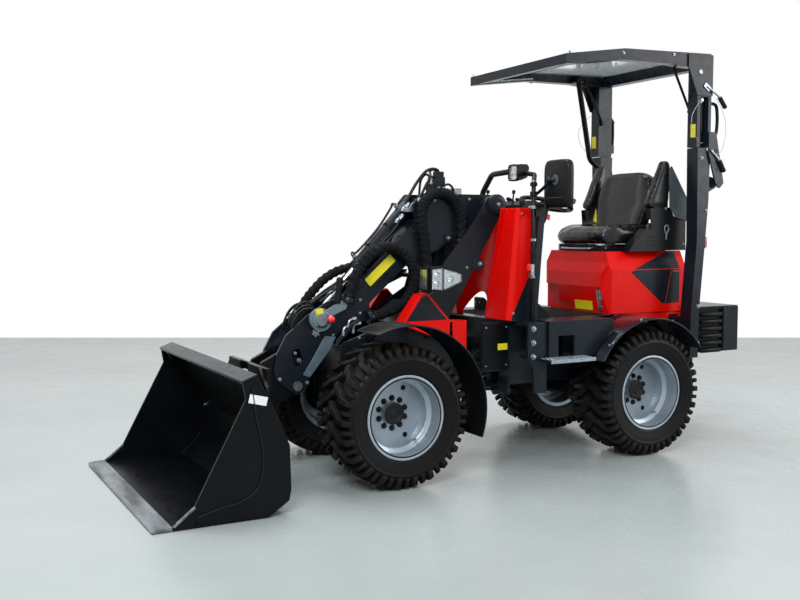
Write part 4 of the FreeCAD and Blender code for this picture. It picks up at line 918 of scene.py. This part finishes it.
def make_step_details():
    for label in mirrored():
        tread = Kit("step_tread_" + label, ZINC, REAR, 0.8)
        tread.block((-1050, -776), (471, 562), (543, 546))
        tread.block((-1050, -776), (560, 565), (528, 546))
        for i in range(12):
            for k in range(4):
                x, y = -1034 + 23 * i, 484 + 21 * k
                tread.turned([(0, 6.5), (2.5, 5), (3, 3)], (x + 6 * (k % 2), y, 546), UP, 10)
        bead = Kit("rear_fender_bead_" + label, DARK, REAR, 0, 60)
        for y in (548, 300):
            bead.arch((rear_axle, 335), 382.5, y, 28.5, 117.3, 24)
        screws = Kit("fender_screws_" + label, ZINC, REAR, 0.3)
        for angle in (42, 78, 110, 138):
            turn = math.radians(angle)
            away = (math.cos(turn), 0, math.sin(turn))
            screws.bolt((rear_axle + 385 * away[0], 528, 335 + 385 * away[2]), away, 6)
        hose = Kit("rear_motor_hoses_" + label, HOSE, REAR, 0)
        for k, x in enumerate((rear_axle + 70, rear_axle + 110)):
            hose.pipe([(x, 216, 560 - 20 * k), (x - 6, 240, 560 - 20 * k), (x - 30, 262, 520),
                       (x - 60, 270, 460), (x - 80, 274, 410)], 9)
    mat = Kit("floor_mat", GRIP, REAR, 0.6)
    mat.block((-1330, -735), (-278, 278), (725.2, 729))
    for i in range(26):
        x = -1316 + 22 * i
        mat.block((x, x + 9), (-268, 268), (729, 732))
    pads = Kit("pedal_pads", GRIP, REAR, 0.6)
    bolts = Kit("pedal_bolts", ZINC, REAR, 0.3)
    for _ in mirrored():
        for i in range(5):
            a = i * 0.17
            x, z = -955 + 62 * a, 745 + 50 * a
            pads.block((x, x + 9), (222, 288), (z, z + 6))
        bolts.bolts(((-882, 236, 770), (-882, 274, 770)), (0.6, 0, 0.4), 6)


def make_cowl_details():
    screws = Kit("cowl_screws", ZINC, REAR, 0.3)
    for _ in mirrored():
        screws.bolts(((-745, 350, 1255), (-850, 350, 1255), (-790, 350, 1000), (-700, 350, 760)), OUT, 6)
    screws.rod((-771, 412, 1409), (-771, 412, 1417), 9)
    screws.bolt((-762, 400, 1285), (1, 0, 0), 9)
    screws.turned([(0, 17), (16, 17)], (-771, 412, 1278), UP, 28)
    screws.turned([(0, 15), (12, 15)], (-771, 412, 1120), UP, 28)
    screws.block((-771, -752), (404, 424), (938, 1006))
    screws.bolt((-752, 414, 985), (1, 0, 0), 6)
    screws.rod((-757, 424, 950), (-757, 444, 942), 6)
    red = Kit("ratchet_tab", SIGNAL_RED, REAR, 1.5)
    red.prism([(-862, 1254), (-878, 1248), (-874, 1222), (-860, 1228)], 398, 408)
    red.prism([(-738, 408), (-744, 424), (-756, 424), (-756, 408)], 975, 1004, "z")
    levers = Kit("dash_levers", GRIP, REAR, 0)
    for profile, place, axis, count in (
            ([(0, 5), (14, 5), (16, 12), (26, 15), (36, 13), (42, 6), (43, 1)], (-785, 296, 1283), UP, 28),
            ([(0, 9), (4, 9), (5, 4.5), (58, 4), (60, 9), (74, 9), (78, 4)], (-796, 196, 1300),
             (-0.1, 0, 1), 20),
            ([(0, 9), (4, 9), (5, 4.5), (46, 4), (48, 9), (62, 9), (66, 4)], (-800, -60, 1322),
             (-0.2, 0.1, 1), 20)):
        levers.turned(profile, place, axis, count)
    gauge = Kit("dash_gauges", GREY_PLASTIC, REAR, 0.8)
    glass = Kit("dash_gauge_glass", GLASS, REAR, 0)
    slope = (-0.65, 0, 0.75)
    for y, rim, dial in ((40, 30, 24), (112, 22, 16), (-30, 18, 13)):
        gauge.turned([(0, rim), (5, rim), (6, rim - 4), (3, rim - 5)], (-892, y, 1324), slope, 40)
        glass.turned([(2.5, dial), (3.5, dial - 0.5)], (-892, y, 1324), slope, 36)
    for i in range(4):
        gauge.block((-905, -898), (150 + 18 * i, 162 + 18 * i), (1292, 1304))
    cap = Kit("steering_wheel_cap", GREY_PLASTIC, REAR, 0.8)
    lean = (math.sin(math.radians(-14)), 0, math.cos(math.radians(-14)))
    cap.turned([(17, 30), (20, 30), (23, 24), (24, 10)], (-1152, 0, 1314), lean, 36)
    cap.turned([(10, 8), (26, 7), (30, 15), (46, 17), (54, 12), (56, 4)], (-1248, 98, 1290), lean, 28)


def make_lamp_and_mirror():
    Kit("work_lamp_lens", LENS, REAR, 1.5).plate((-794, 206.5, 1464), (0, 1, 0), UP, 66, 70, 4, 10)
    shine = Kit("work_lamp_reflector", REFLECTOR, REAR, 0.6)
    shine.plate((-800, 206.5, 1464), (0, 1, 0), UP, 64, 68, 2, 10)
    for y in (190, 223):
        shine.turned([(2, 14), (5, 8), (4, 4)], (-800, y, 1464), (1, 0, 0), 24)
    body = Kit("work_lamp_bezel", PLASTIC, REAR, 1.2)
    corners = [squared(angle, 5) for angle in turns(32)]
    body.layers([([(206.5 + u * size, 1464 + v * size * 1.04) for u, v in corners], level)
                 for size, level in ((41, -806), (41, -786), (35, -786), (34, -800))], "x", True)
    for i in range(5):
        body.block((-858, -848), (176, 238), (1440 + 12 * i, 1446 + 12 * i))
    Kit("work_lamp_bolt", ZINC, REAR, 0.4).bolt((-835, 247, 1462), (0, 1, 0), 9)

    shell = Kit("mirror_shell", PLASTIC, REAR, 0, 50)
    corners = [squared(angle, 6) for angle in turns(64)]
    shell.layers([([(530 + 97 * size * u, 1397 + 116 * size * v) for u, v in corners], level)
                  for size, level in ((0.86, -813), (0.95, -815), (0.99, -820), (1.0, -828), (1.0, -842),
                                      (0.985, -849), (0.93, -850), (0.92, -847))], "x", False)
    shell.pipe([(-790, 412, 1352), (-792, 440, 1366), (-796, 470, 1385), (-800, 500, 1412)], 8)
    shell.turned([(-17, 3), (-15, 9), (-9, 14.5), (0, 17), (9, 14.5), (13, 11), (17, 11)], (-800, 500, 1415),
                 (-1, 0, 0), 28)
    shell.rod((-815, 529, 1414), (-796, 515, 1414), 9)
    piece = shell.done()
    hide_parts("mirror")
    ribs = Kit("mirror_back_ribs", GREY_PLASTIC, REAR, 0.8)
    ribs.turned([(0, 26), (3, 24), (4, 10)], (-812.5, 529, 1414), (1, 0, 0), 36)
    ribs.plate((-812.4, 530, 1330), (0, 1, 0), UP, 120, 3, 1.4, 1)
    Kit("mirror_glass", GLASS, REAR, 0).plate((-848.5, 530, 1397), (0, -1, 0), UP, 168, 204, 2, 30)
    clamp = Kit("mirror_clamps", PLASTIC, REAR, 0.8)
    for place, radius, height in (((-771, 412, 1340), 18, 22), ((-771, 412, 1388), 18, 18),
                                  ((-830, -140, 1283), 20, 16), ((-771, 412, 1060), 17, 14)):
        clamp.turned([(0, radius), (height, radius)], place, UP, 28)


def make_hood_details():
    film = Kit("hood_decals", DECAL, REAR, 0)
    lines = Kit("hood_lines", SIGNAL_RED, REAR, 0)
    latches = Kit("hood_latches", ZINC, REAR, 0.5)
    labels = Kit("hood_labels", YELLOW, REAR, 0)
    screws = Kit("hood_screws", PLASTIC, REAR, 0.4)
    for _ in mirrored():
        film.prism([(-1507, 946), (-1531, 957), (-1856, 957), (-1856, 772), (-1733, 769)], 290, 290.7)

        def slope(x, z, lift):
            return film.at(x, 290 - (z - 960) * 50 / 98 + lift * 0.89, z + lift * 0.45)
        film.loft([[slope(x, z, lift) for x, z in ((-1531, 961), (-1856, 961), (-1856, 1054), (-1800, 1054))]
                   for lift in (0.1, 0.8)])
        lines.prism([(-1752, 772), (-1793, 945), (-1796, 948), (-1755, 772)], 290.5, 291.3)
        lines.prism([(-1793, 945), (-1856, 945), (-1856, 948), (-1796, 948)], 290.5, 291.3)
        for place in ((-1400, 280, 700), (-1500, 280, 700), (-1640, 280, 700), (-1860, 290, 748)):
            screws.turned([(0, 6), (2.5, 6), (3.5, 4)], place, OUT, 18)
    lean = (0.148, 0, 0.989)
    latches.plate((-1350, 220, 822), (0, 1, 0), lean, 40, 56, 4, 4)
    latches.plate((-1359, 220, 752), (0, 1, 0), lean, 30, 26, 4, 4)
    latches.rod((-1338, 208, 846), (-1350, 214, 758), 3)
    latches.rod((-1338, 232, 846), (-1350, 226, 758), 3)
    latches.block((-1356, -1344), (206, 234), (800, 812))
    labels.plate((-1355, 82, 762), (0, 1, 0), lean, 150, 50, 0.8, 3)


def make_post_details():
    zinc_low = Kit("post_hardware", ZINC, REAR, 0.4)
    lamp = Kit("tail_lights", SIGNAL_RED, REAR, 2.5)
    base = Kit("tail_light_bases", PLASTIC, REAR, 1.0)
    zinc = Kit("roof_post_hardware", ZINC, TOP, 0.5)
    grips = Kit("latch_grips", GRIP, TOP, 0)
    bars = Kit("grab_handles", BLACK, TOP, 0)
    labels = Kit("post_labels", YELLOW, TOP, 0)
    wires = Kit("latch_wires", WIRE, TOP, 0)
    for _ in mirrored():
        zinc_low.bolt((-1893, 440, 1278), OUT, 8)
        zinc_low.bolt((-1850, 440, 1560), OUT, 9)
        zinc_low.bolts(((-1850, 440, 760), (-1850, 440, 560)), OUT, 10)
        base.block((-1898, -1888), (382, 438), (1074, 1140))
        lamp.block((-1914, -1898), (386, 434), (1080, 1134))
        zinc.turned([(0, 14), (3, 14), (4, 11), (1, 9)], (-1826, 448, 2014), OUT, 36)
        for x, z, x2, z2, gx, gz in ((-1858, 1944, -1950, 1892, -2006, 1826),
                                     (-1893, 1610, -1960, 1556, -2008, 1480)):
            zinc.plate((x - 14, 448 - (0 if z > 1700 else 8), z - 8), (-0.84, 0, -0.54),
                       (-0.54, 0, 0.84), 48, 26, 6, 5)
            zinc.rod((x - 10, 455, z - 6), (x2, 458, z2), 6)
            zinc.rod((x2, 458, z2), (x2 - 6, 458, z2 - 10), 9)
            zinc.bolt((x - 22, 452, z - 12), OUT, 7)
            axis = Vector((gx - x2, 0, gz - z2))
            grip = [(4, 8), (8, 11.5), (24, 12.5), (60, 12), (74, 12.5), (80, 8)]
            grips.turned(grip, (x2, 458, z2), axis, 24)
        zinc.rod((-1853, 408, 1869), (-1853, 438, 1869), 9)
        zinc.rod((-1853, 424, 1880), (-1853, 424, 1850), 7)
        bars.pipe([(-1912, 420, 1852), (-1944, 424, 1854), (-1966, 426, 1840),
                   (-1972, 428, 1790), (-1972, 428, 1740), (-1966, 426, 1694),
                   (-1944, 424, 1680), (-1912, 420, 1682)], 9, 14)
        bars.rod((-1853, 424, 1852), (-1853, 424, 1700), 9)
        bars.rod((-1853, 424, 1700), (-1853, 424, 1622), 5)
        bars.turned([(0, 10), (2, 10)], (-1944, 451, 1600), OUT, 28)
        bars.turned([(0, 9), (2, 9)], (-1958, 451, 1500), OUT, 28)
        labels.plate((-1814, 412, 1705), (0, 1, 0), UP, 36, 70, 0.6, 3)
        wires.pipe([(-1840, 452, 1880), (-1790, 470, 1840), (-1742, 474, 1770),
                    (-1760, 470, 1690), (-1815, 460, 1640), (-1846, 452, 1640)], 1.3, 6)
        wires.pipe([(-1930, 456, 1880), (-1985, 462, 1800), (-2004, 462, 1700),
                    (-1976, 460, 1600), (-1930, 452, 1580)], 1.3, 6)


def make_roof_details():
    trim = Kit("roof_trim", BLACK, TOP, 0.8)
    rods = Kit("roof_stay_rods", ZINC, TOP, 0)
    side = [(-1840, 2102), (-1310, 2084), (-1004, 2038), (-1004, 2044), (-1310, 2090), (-1840, 2108)]
    for _ in mirrored():
        trim.prism(side, 360, 380)
        rods.rod((-1010, 340, 2006), (-1300, 340, 2044), 5)
        rods.bolt((-1310, 372, 2030), (0, 0, -1), 7)
        rods.bolts([(x, 440, 2050 + (x + 960) * -0.06) for x in (-960, -1300, -1640)], OUT, 7)
    trim.block((-1015, -1000), (-360, 360), (2038, 2048))


def make_counterweight_details():
    ribs = Kit("counterweight_ribs", BLACK, REAR, 0, 60)
    plates = Kit("counterweight_plates", DARK, REAR, 1.5)
    for _ in mirrored():
        for i in range(6):
            z = 505 + 40 * i
            ribs.turned([(0, 3), (3, 10), (9, 14), (150, 14), (157, 10), (160, 3)], (-1932, 378, z),
                        (-1, 0, 0), 20)
        plates.block((-2213, -2102), (380, 386), (496, 744))
    plates.prism([(-2213, 744), (-2213, 750), (-1930, 750), (-1930, 744)], -380, 380)
    bolts = Kit("counterweight_bolts", ZINC, REAR, 0.4)
    pin = Kit("tow_jaw_lines", CAST, REAR, 1.0)
    grille = Kit("tail_grille", PLASTIC, REAR, 0.8)
    for i in range(9):
        z = 780 + 26 * i
        grille.block((-1911, -1904), (-200, 200), (z, z + 9))
    for _ in mirrored():
        bolts.bolts([(-2215, y, z) for y in (180, 300) for z in (560, 680)], (-1, 0, 0), 12)
        pin.block((-2074, -2030), (40, 50), (402, 470))
        grille.prism([(205, 770), (205, 1012), (215, 1012), (215, 770)], -1912, -1904, "x")


# ---------------------------------------------------------------- seat
VOXEL = 0.006                            # metres between the vertices of a pad's cloth
CLOTH_FRAMES, CLOTH_PRESSURE = 20, 3.0


def evened(mesh, values, rounds):
    """One vector per vertex, each averaged with its neighbours' a few times over."""
    for _ in range(rounds):
        sums = [value.copy() for value in values]
        counts = [1] * len(values)
        for edge in mesh.edges:
            a, b = edge.vertices
            sums[a] += values[b]
            sums[b] += values[a]
            counts[a] += 1
            counts[b] += 1
        values = [total / count for total, count in zip(sums, counts)]
    return values


def make_pad(kit, node, held, cap, shape=None):
    Kit.started.remove(kit)
    bmesh.ops.recalc_face_normals(kit.mesh, faces=kit.mesh.faces)
    rough = bpy.data.meshes.new(kit.name + "_rough")
    kit.mesh.to_mesh(rough)
    kit.mesh.free()
    block = bpy.data.objects.new(kit.name + "_rough", rough)
    scene.collection.objects.link(block)
    remesh = block.modifiers.new("voxels", "REMESH")
    remesh.mode = "VOXEL"
    remesh.voxel_size = VOXEL
    mesh = bpy.data.meshes.new_from_object(block.evaluated_get(bpy.context.evaluated_depsgraph_get()))
    bpy.data.objects.remove(block)
    mesh.name = kit.name
    if shape:
        for vertex in mesh.vertices:
            vertex.co = shape(vertex.co)
    piece = bpy.data.objects.new(kit.name, mesh)
    scene.collection.objects.link(piece)
    start = [vertex.co.copy() for vertex in mesh.vertices]
    pins = piece.vertex_groups.new(name="held")
    for vertex in mesh.vertices:
        weight = held(vertex.co)
        if weight > 0:
            pins.add([vertex.index], weight, "REPLACE")
    cloth = piece.modifiers.new("cloth", "CLOTH")
    cloth.settings.quality = 4
    cloth.settings.use_pressure = True
    cloth.settings.uniform_pressure_force = CLOTH_PRESSURE
    cloth.settings.effector_weights.gravity = 0.0
    cloth.settings.vertex_group_mass = "held"
    cloth.point_cache.frame_start = 1
    cloth.point_cache.frame_end = CLOTH_FRAMES
    for step in range(1, CLOTH_FRAMES + 1):
        scene.frame_set(step)
    swollen = piece.evaluated_get(bpy.context.evaluated_depsgraph_get()).to_mesh()
    ends = [vertex.co.copy() for vertex in swollen.vertices]
    piece.modifiers.remove(cloth)
    moves = []
    for place, end in zip(start, ends):
        move = end - place
        moves.append(move * (cap / max(move.length, cap)))
    moves = evened(mesh, moves, 4)
    for vertex, place, move in zip(mesh.vertices, start, moves):
        vertex.co = place + move
    scene.frame_set(1)
    places = evened(mesh, [vertex.co.copy() for vertex in mesh.vertices], 3)
    for vertex, place in zip(mesh.vertices, places):
        vertex.co = place
    piece.vertex_groups.clear()
    mesh.materials.clear()
    mesh.materials.append(kit.material)
    mesh.shade_smooth()
    subdivision = piece.modifiers.new("smooth", "SUBSURF")
    subdivision.levels = 1
    subdivision.render_levels = 1
    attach(piece, kit.body)
    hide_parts(node)
    return piece


def near_line(y, z, a, b):
    """Distance in metres from (y, z) to the segment a-b, given in millimetres."""
    ay, az, by, bz = (v / 1000 for v in (*a, *b))
    run = ((y - ay) * (by - ay) + (z - az) * (bz - az)) / ((by - ay) ** 2 + (bz - az) ** 2)
    run = min(max(run, 0.0), 1.0)
    return math.hypot(y - ay - run * (by - ay), z - az - run * (bz - az))


def blend(low, high, value):
    """Smooth step from 0 at low to 1 at high."""
    step = min(max((value - low) / (high - low), 0.0), 1.0)
    return step * step * (3 - 2 * step)


def make_seat():
    cushion = Kit("seat_cushion_pad", VINYL, REAR)
    cushion.prism([(-1690, 1098), (-1392, 1098), (-1360, 1116), (-1350, 1140), (-1356, 1162), (-1384, 1180),
                   (-1500, 1184), (-1690, 1186)], -220, 220)
    low, seam = P(0, 0, 1103).z, P(0, 0, 1128).z
    nose = P(-1350, 0, 0).x

    def cushion_shape(co):
        side = abs(co.y) / 0.22
        ahead = blend(nose - 0.12, nose, co.x)
        lift = 0.012 * blend(0.5, 0.9, side) * (1 - ahead) * blend(seam, seam + 0.04, co.z)
        return Vector((co.x - 0.035 * side ** 4 * ahead, co.y * (1 - 0.06 * ahead), co.z + lift))

    def cushion_held(co):
        if co.z < low:
            return 1.0
        return 0.6 if abs(co.z - seam) < 0.0034 else 0.0
    make_pad(cushion, "seat_cushion", cushion_held, 0.012, cushion_shape)

    back = Kit("seat_backrest_pad", VINYL, REAR)
    back.prism([(-1650, 1186), (-1706, 1478), (-1718, 1496), (-1738, 1500), (-1754, 1486), (-1698, 1186)],
               -216, 216)
    foot, top = P(0, 0, 1190).z, P(0, 0, 1340).z

    def back_front(co):
        return P(-1650 + (P(0, 0, 1186).z - co.z) * 192, 0, 0).x

    def back_shape(co):
        rise = blend(top, top + 0.16, co.z)
        fall = 1 - blend(top - 0.16, top - 0.02, co.z)
        side = abs(co.y) / 0.216
        bolster = 0.012 * blend(0.5, 0.85, side) * blend(-0.034, -0.01, co.x - back_front(co))
        return Vector((co.x + bolster - 0.012 * side ** 6, co.y * (1 - 0.1 * rise ** 2 - 0.15 * fall),
                       co.z - 0.04 * max(rise, 0.0) * side ** 5))
    seams = [((-150, 1330), (-56, 1262)), ((150, 1330), (56, 1262)), ((-56, 1262), (56, 1262)),
             ((-130, 1438), (-40, 1462)), ((130, 1438), (40, 1462))]

    def back_held(co):
        if co.x < back_front(co) - 0.034 or co.z < foot:
            return 0.9
        near = min(near_line(co.y, co.z, *seam) for seam in seams)
        return 0.7 if near < 0.0034 else 0.0
    make_pad(back, "seat_backrest", back_held, 0.009, back_shape)

    for label in mirrored():
        rest = Kit("armrest_pad_" + label, VINYL, REAR)
        rest.prism([(-1640, 1296), (-1626, 1316), (-1682, 1452), (-1726, 1540), (-1742, 1556), (-1762, 1550),
                    (-1774, 1530), (-1778, 1400), (-1768, 1296)], 240, 289)

        def rest_held(co):
            return 0.9 if co.z < P(0, 0, 1302).z else 0.0
        make_pad(rest, "armrests", rest_held, 0.006)

    rails = Kit("seat_rails", ZINC, REAR, 0.5)
    for _ in mirrored():
        rails.block((-1700, -1372), (160, 176), (1090, 1096))
        rails.bolts(((-1410, 190, 1076), (-1660, 190, 1076)), OUT, 6)
    rails.pipe([(-1392, -120, 1078), (-1362, -118, 1074), (-1352, -100, 1072), (-1352, 100, 1072),
                (-1362, 118, 1074), (-1392, 120, 1078)], 5)
    bellows = Kit("seat_bellows", GRIP, REAR, 1.6)
    for level in (1060, 1070, 1080):
        bellows.block((-1694, -1386), (-194, 194), (level, level + 7))
    hinge = Kit("seat_hinges", GREY_PLASTIC, REAR, 1.5)
    for _ in mirrored():
        hinge.turned([(0, 24), (8, 24), (11, 20), (11, 8), (9, 6)], (-1688, 226, 1188), OUT, 36)
        hinge.prism([(-1706, 1110), (-1660, 1110), (-1668, 1200), (-1706, 1200)], 222, 232)
    hinge.block((-1712, -1660), (-196, 196), (1140, 1190))
    belt = Kit("seat_belt_tag", YELLOW, REAR, 0)
    belt.prism([(-214, 1296), (-236, 1226), (-184, 1208), (-196, 1250)], -1676, -1672, "x")
    shell = Kit("seat_back_shell", PLASTIC, REAR, 2.0)
    shell.prism([(-1697, 1200), (-1750, 1468), (-1760, 1466), (-1708, 1200)], -196, 196)

    sides = Kit("console_plates", GREY_PLASTIC, REAR, 1.2)
    webs = Kit("console_webs", PLASTIC, REAR, 1.2)
    hooks = Kit("console_hooks", SATIN_AND_SHEEN, REAR, 0.6)
    for _ in mirrored():
        sides.prism([(-1754, 1510), (-1772, 1522), (-1892, 1344), (-1888, 1222), (-1804, 1244),
                     (-1762, 1300)], 298, 304)
        webs.prism([(-1560, 1062), (-1574, 1104), (-1640, 1176), (-1630, 1290), (-1770, 1298), (-1800, 1248),
                    (-1888, 1236), (-1890, 1062)], 290, 297)
        webs.prism([(-1650, 1230), (-1640, 1290), (-1700, 1310), (-1760, 1296), (-1752, 1236)], 244, 290)
        for level in (1090, 1112, 1134):
            webs.block((-1715, -1600), (297, 301), (level, level + 6))
        hooks.pipe([(-1738, 304, 1120), (-1742, 304, 1150), (-1756, 304, 1180),
                    (-1742, 304, 1200), (-1726, 304, 1184), (-1736, 304, 1150)], 4)
        for place in ((-1738, 297, 1290), (-1870, 297, 1096)):
            hooks.turned([(0, 8), (3, 8), (5, 5)], place, OUT, 20)


for make in (make_boom_details, make_tilt_cylinder_details, make_head_details, make_hitch_details,
             make_bucket_details, make_front_details, make_chassis_details, make_step_details,
             make_cowl_details, make_lamp_and_mirror, make_hood_details, make_post_details,
             make_roof_details, make_counterweight_details, make_seat):
    make()
for kit in list(Kit.started):
    kit.done()
